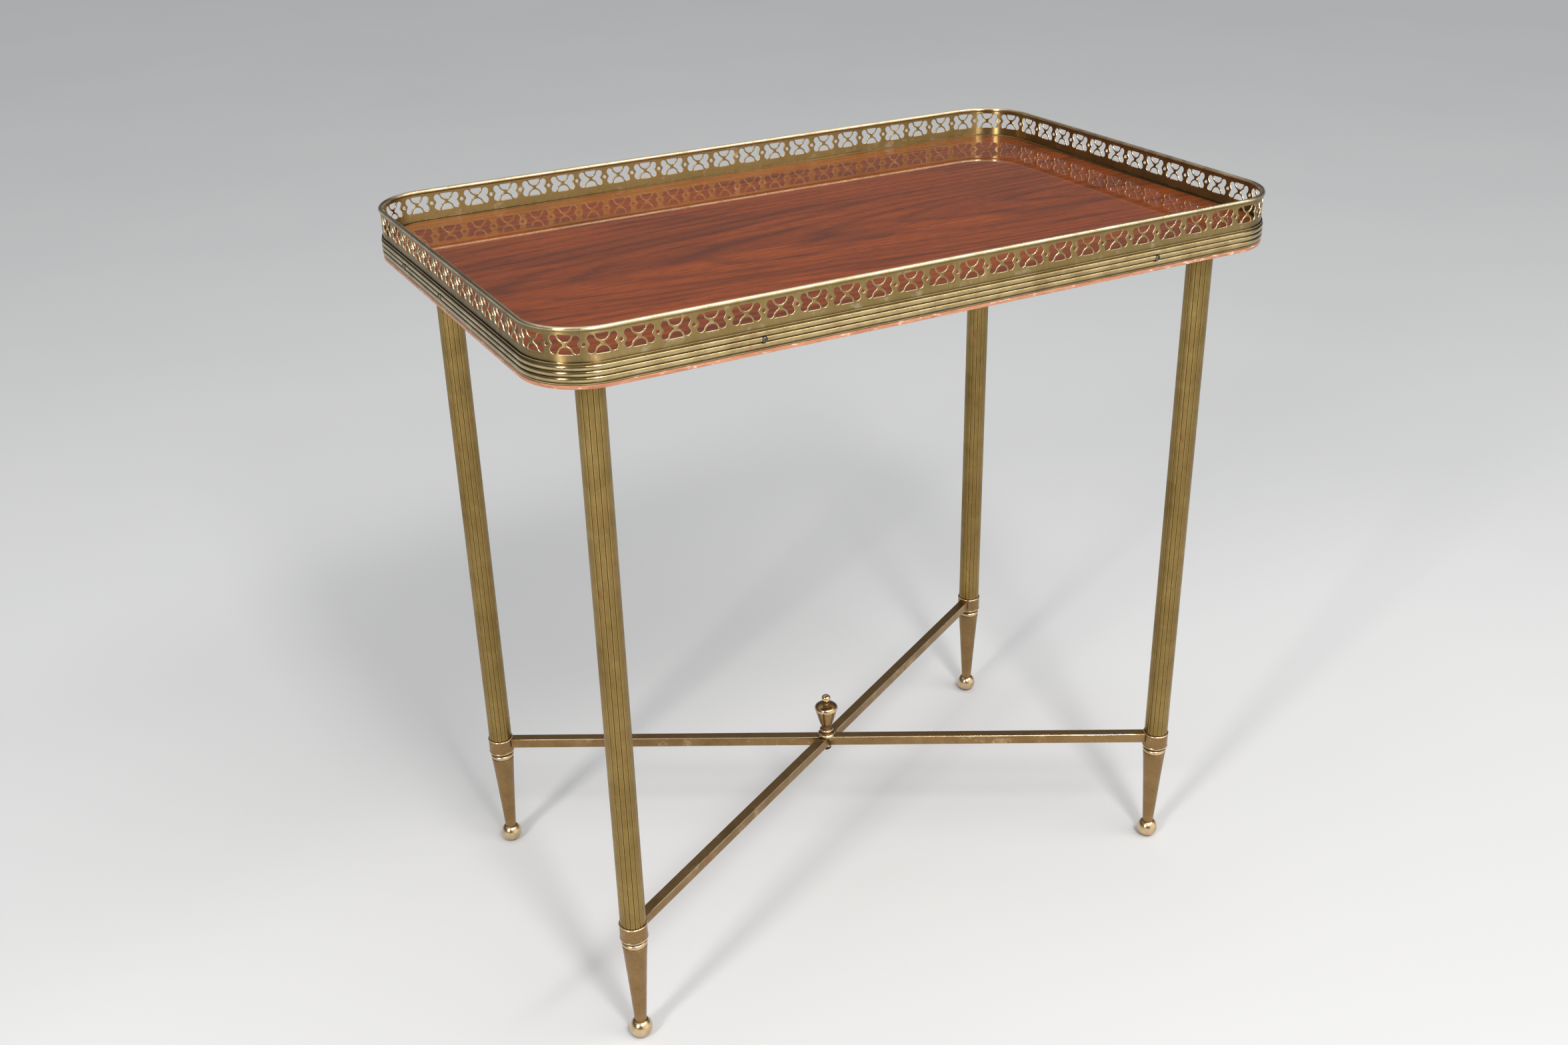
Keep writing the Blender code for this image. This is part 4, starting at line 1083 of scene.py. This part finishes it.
def make_stretchers():
    """Two square bars halved over each other at the middle."""
    low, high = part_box("stretcher_bar_rising")
    size = high.z - low.z
    middle = (low.z + high.z) / 2
    corner = 0.55 * MM
    notch_play = 0.16 * MM
    slant = math.atan2(LEG_Y, LEG_X)
    reach = math.hypot(LEG_X, LEG_Y)
    collar_radius = seat("collar_front_left")[3] + 0.15 * MM
    for node, turn, side in (("stretcher_bar_rising", slant, 1), ("stretcher_bar_falling", -slant, -1)):
        bar = rounded_bar(reach, size, low.z, collar_radius, corner)
        notch = (4 * size, size + notch_play, size)
        bar = cut(bar, block(notch, (0, 0, middle + side * size / 2), -2 * turn))
        bar = cut(bar, drum(STUD_BORE, 3 * size, (0, 0, middle)))
        add_piece("square_" + node, bar, "aged_brass", [node], (0, 0), turn)


# Fastenings under the top and the crossing

def make_flange(name):
    """A turned plate with a boss, its three holes countersunk."""
    node = "leg_flange_" + name
    low, high, centre, outer = seat(node)
    under = high.z - FLANGE_THICKNESS
    hole_radius = 1.95 * MM
    sink_radius = 4.45 * MM
    profile = [
        (BOSS_BORE, high.z, RECESS), (outer - 0.1 * MM, high.z, PLAIN), (outer, high.z - 0.12 * MM, 0.8),
        (outer, under + 0.6 * MM, PLAIN), (outer - 0.15 * MM, under + 0.2 * MM, EDGE),
        (outer - 0.6 * MM, under, 0.9), (outer - 1.2 * MM, under, PLAIN),
        (BOSS_RADIUS + 3.2 * MM, under, PLAIN), (BOSS_RADIUS + 2.4 * MM, under, 0.3),
        (BOSS_RADIUS, under, RECESS), (BOSS_RADIUS, low.z, PLAIN), (BOSS_BORE, low.z, RECESS),
    ]
    bm = turned(profile, 72)
    for number in SCREWS:
        place = seat("flange_screw_%s_%d" % (name, number))[2] - centre
        bm = cut(bm, drum(hole_radius, 12 * MM, (place.x, place.y, under), 24))
        sink = (place.x, place.y, under + 0.7 * MM)
        bm = cut(bm, drum(sink_radius, 3.4 * MM, sink, 32, 1.2 * MM))
    add_piece("turned_" + node, bm, "aged_brass", [node], centre.xy)


def make_screws(name):
    """Slotted countersunk wood screws with a turned thread."""
    crest = 1.6 * MM
    root = 1.15 * MM
    thread_turns = 9
    slot_size = (9 * MM, 0.8 * MM, 1.8 * MM)
    for number in SCREWS:
        node = "flange_screw_%s_%d" % (name, number)
        low, high, centre, _ = seat(node)
        length = high.z - low.z
        profile = [(0.0, 0.0, PLAIN), (2.6 * MM, 0.0, PLAIN), (3.2 * MM, 0.05 * MM, EDGE)]
        profile += [(3.35 * MM, 0.3 * MM, EDGE), (crest, 2.2 * MM, RECESS)]
        for i in range(thread_turns):
            height = (2.6 + 6.4 * i / thread_turns) * MM
            profile += [(root, height, RECESS), (crest, height + 0.25 * MM, PLAIN)]
        profile += [(1.1 * MM, length - 2.5 * MM, PLAIN), (0.0, length, PLAIN)]
        bm = turned([(r, low.z + h, relief) for r, h, relief in profile], 32)
        bm = cut(bm, block(slot_size, (0.03 * MM, 0.05 * MM, low.z), 0.1))
        turn = number + 9 * centre.x
        add_piece("slotted_" + node, bm, "steel", [node], centre.xy, turn)


def make_centre_fastening():
    """Washer and hexagonal nut with turned corners, under the crossing."""
    low, high, _, outer = seat("centre_washer")
    profile = [(0.46, high.z, PLAIN), (0.98, high.z, PLAIN), (1.0, high.z - 0.1 * MM, EDGE),
               (1.0, low.z + 0.2 * MM, EDGE), (0.96, low.z, 0.9), (0.88, low.z, PLAIN),
               (0.46, low.z, RECESS)]
    washer = turned([(share * outer, z, relief) for share, z, relief in profile], 64)
    add_piece("round_washer", washer, "aged_brass", ["centre_washer"])

    low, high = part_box("centre_nut")
    corner = (high.y - low.y) / 2
    height = high.z - low.z
    middle = (0, 0, (low.z + high.z) / 2)
    chamfer = 0.45 * MM
    face = 0.86 * corner
    wide = 1.02 * corner
    cap = [(0.0, low.z, 0.6), (face, low.z, 0.9), (wide, low.z + chamfer, EDGE),
           (wide, high.z - chamfer, EDGE), (face, high.z, 0.9), (0.0, high.z, 0.6)]
    nut = cut(drum(corner, height, middle, 6), turned(cap, 48), "INTERSECT")
    nut = cut(nut, drum(STUD_BORE, 3 * height, middle))
    add_piece("hexagon_nut", nut, "aged_brass", ["centre_nut"], smooth_angle=25)


def dress_hidden_rods():
    """The rods inside the legs and the stud keep their own shapes, with a rounded arris."""
    for node in ["tie_rod_" + name for name in LEGS] + ["finial_stud"]:
        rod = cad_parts[node]
        rod.data.materials.clear()
        rod.data.materials.append(MATERIALS["steel"])
        arris = rod.modifiers.new("arris", "BEVEL")
        arris.width = 0.4 * MM
        arris.segments = 2
        arris.limit_method = "ANGLE"
        arris.angle_limit = math.radians(50)


# Studio

def make_floor():
    """A plain floor, wide enough to reach the horizon."""
    half = 45.0
    mesh = bpy.data.meshes.new("floor")
    corners = [(-half, -half, 0), (half, -half, 0), (half, half, 0), (-half, half, 0)]
    mesh.from_pydata(corners, [], [(0, 1, 2, 3)])
    mesh.materials.append(floor_finish())
    floor = bpy.data.objects.new("floor", mesh)
    bpy.context.scene.collection.objects.link(floor)


def soft_light(name, place, target, width, height, power, colour):
    data = bpy.data.lights.new(name, "AREA")
    data.shape = "RECTANGLE"
    data.size = width
    data.size_y = height
    data.energy = power
    data.color = colour
    light = bpy.data.objects.new(name, data)
    light.location = place
    light.rotation_euler = (Vector(target) - Vector(place)).to_track_quat("-Z", "Y").to_euler()
    bpy.context.scene.collection.objects.link(light)


def make_studio():
    """Pale floor, soft lamps in front and above, and a dim room with a pale ceiling and a window."""
    make_floor()
    soft_light("lamp_left", (-2.45, -1.30, 1.75), (0, 0, 0.4), 0.36, 1.3, 46, (1.0, 0.97, 0.92))
    soft_light("lamp_front", (-0.22, -1.55, 1.85), (0, 0, 0.4), 0.26, 0.8, 22, (1.0, 0.97, 0.93))
    soft_light("lamp_ceiling", (0.55, -1.55, 2.30), (0, 0, 0.45), 3.2, 0.24, 30, (1.0, 0.98, 0.94))
    world = bpy.data.worlds.new("studio")
    bpy.context.scene.world = world
    s = Shader(world)
    towards = s.place.node.outputs["Generated"]
    glows = (
        ((0.0, 0.0, 1.0), 0.42, 0.98, (0.090, 0.093, 0.100, 1), (0.95, 0.95, 0.95, 1)),
        ((0.0, 0.0, -1.0), -0.26, 0.0, (0.0, 0.0, 0.0, 1), (0.26, 0.262, 0.265, 1)),
        ((0.52, -0.80, 0.30), 0.62, 1.0, (0.0, 0.0, 0.0, 1), (0.95, 0.92, 0.86, 1)),
    )
    colour = None
    for direction, low, high, dim, pale in glows:
        facing = s.operate("VectorMath", "DOT_PRODUCT", towards, Vector(direction).normalized())
        rise = s.make("MapRange", Value=facing.outputs["Value"], From_Min=low, From_Max=high)
        rise.interpolation_type = "SMOOTHSTEP"
        glow = s.mix(rise.outputs["Result"], dim, pale)
        if colour is None:
            colour = glow
        else:
            colour = s.operate("VectorMath", "ADD", colour, glow).outputs["Vector"]
    s.set("Color", colour)


make_camera()
make_studio()
make_top_board()
make_gallery()
make_reeded_band()
make_pins()
for leg in LEGS:
    make_leg_tube(leg)
    make_collar(leg)
    make_foot(leg)
    make_flange(leg)
    make_screws(leg)
make_stretchers()
make_finial()
make_centre_fastening()
dress_hidden_rods()
bpy.context.scene.view_settings.view_transform = "Standard"
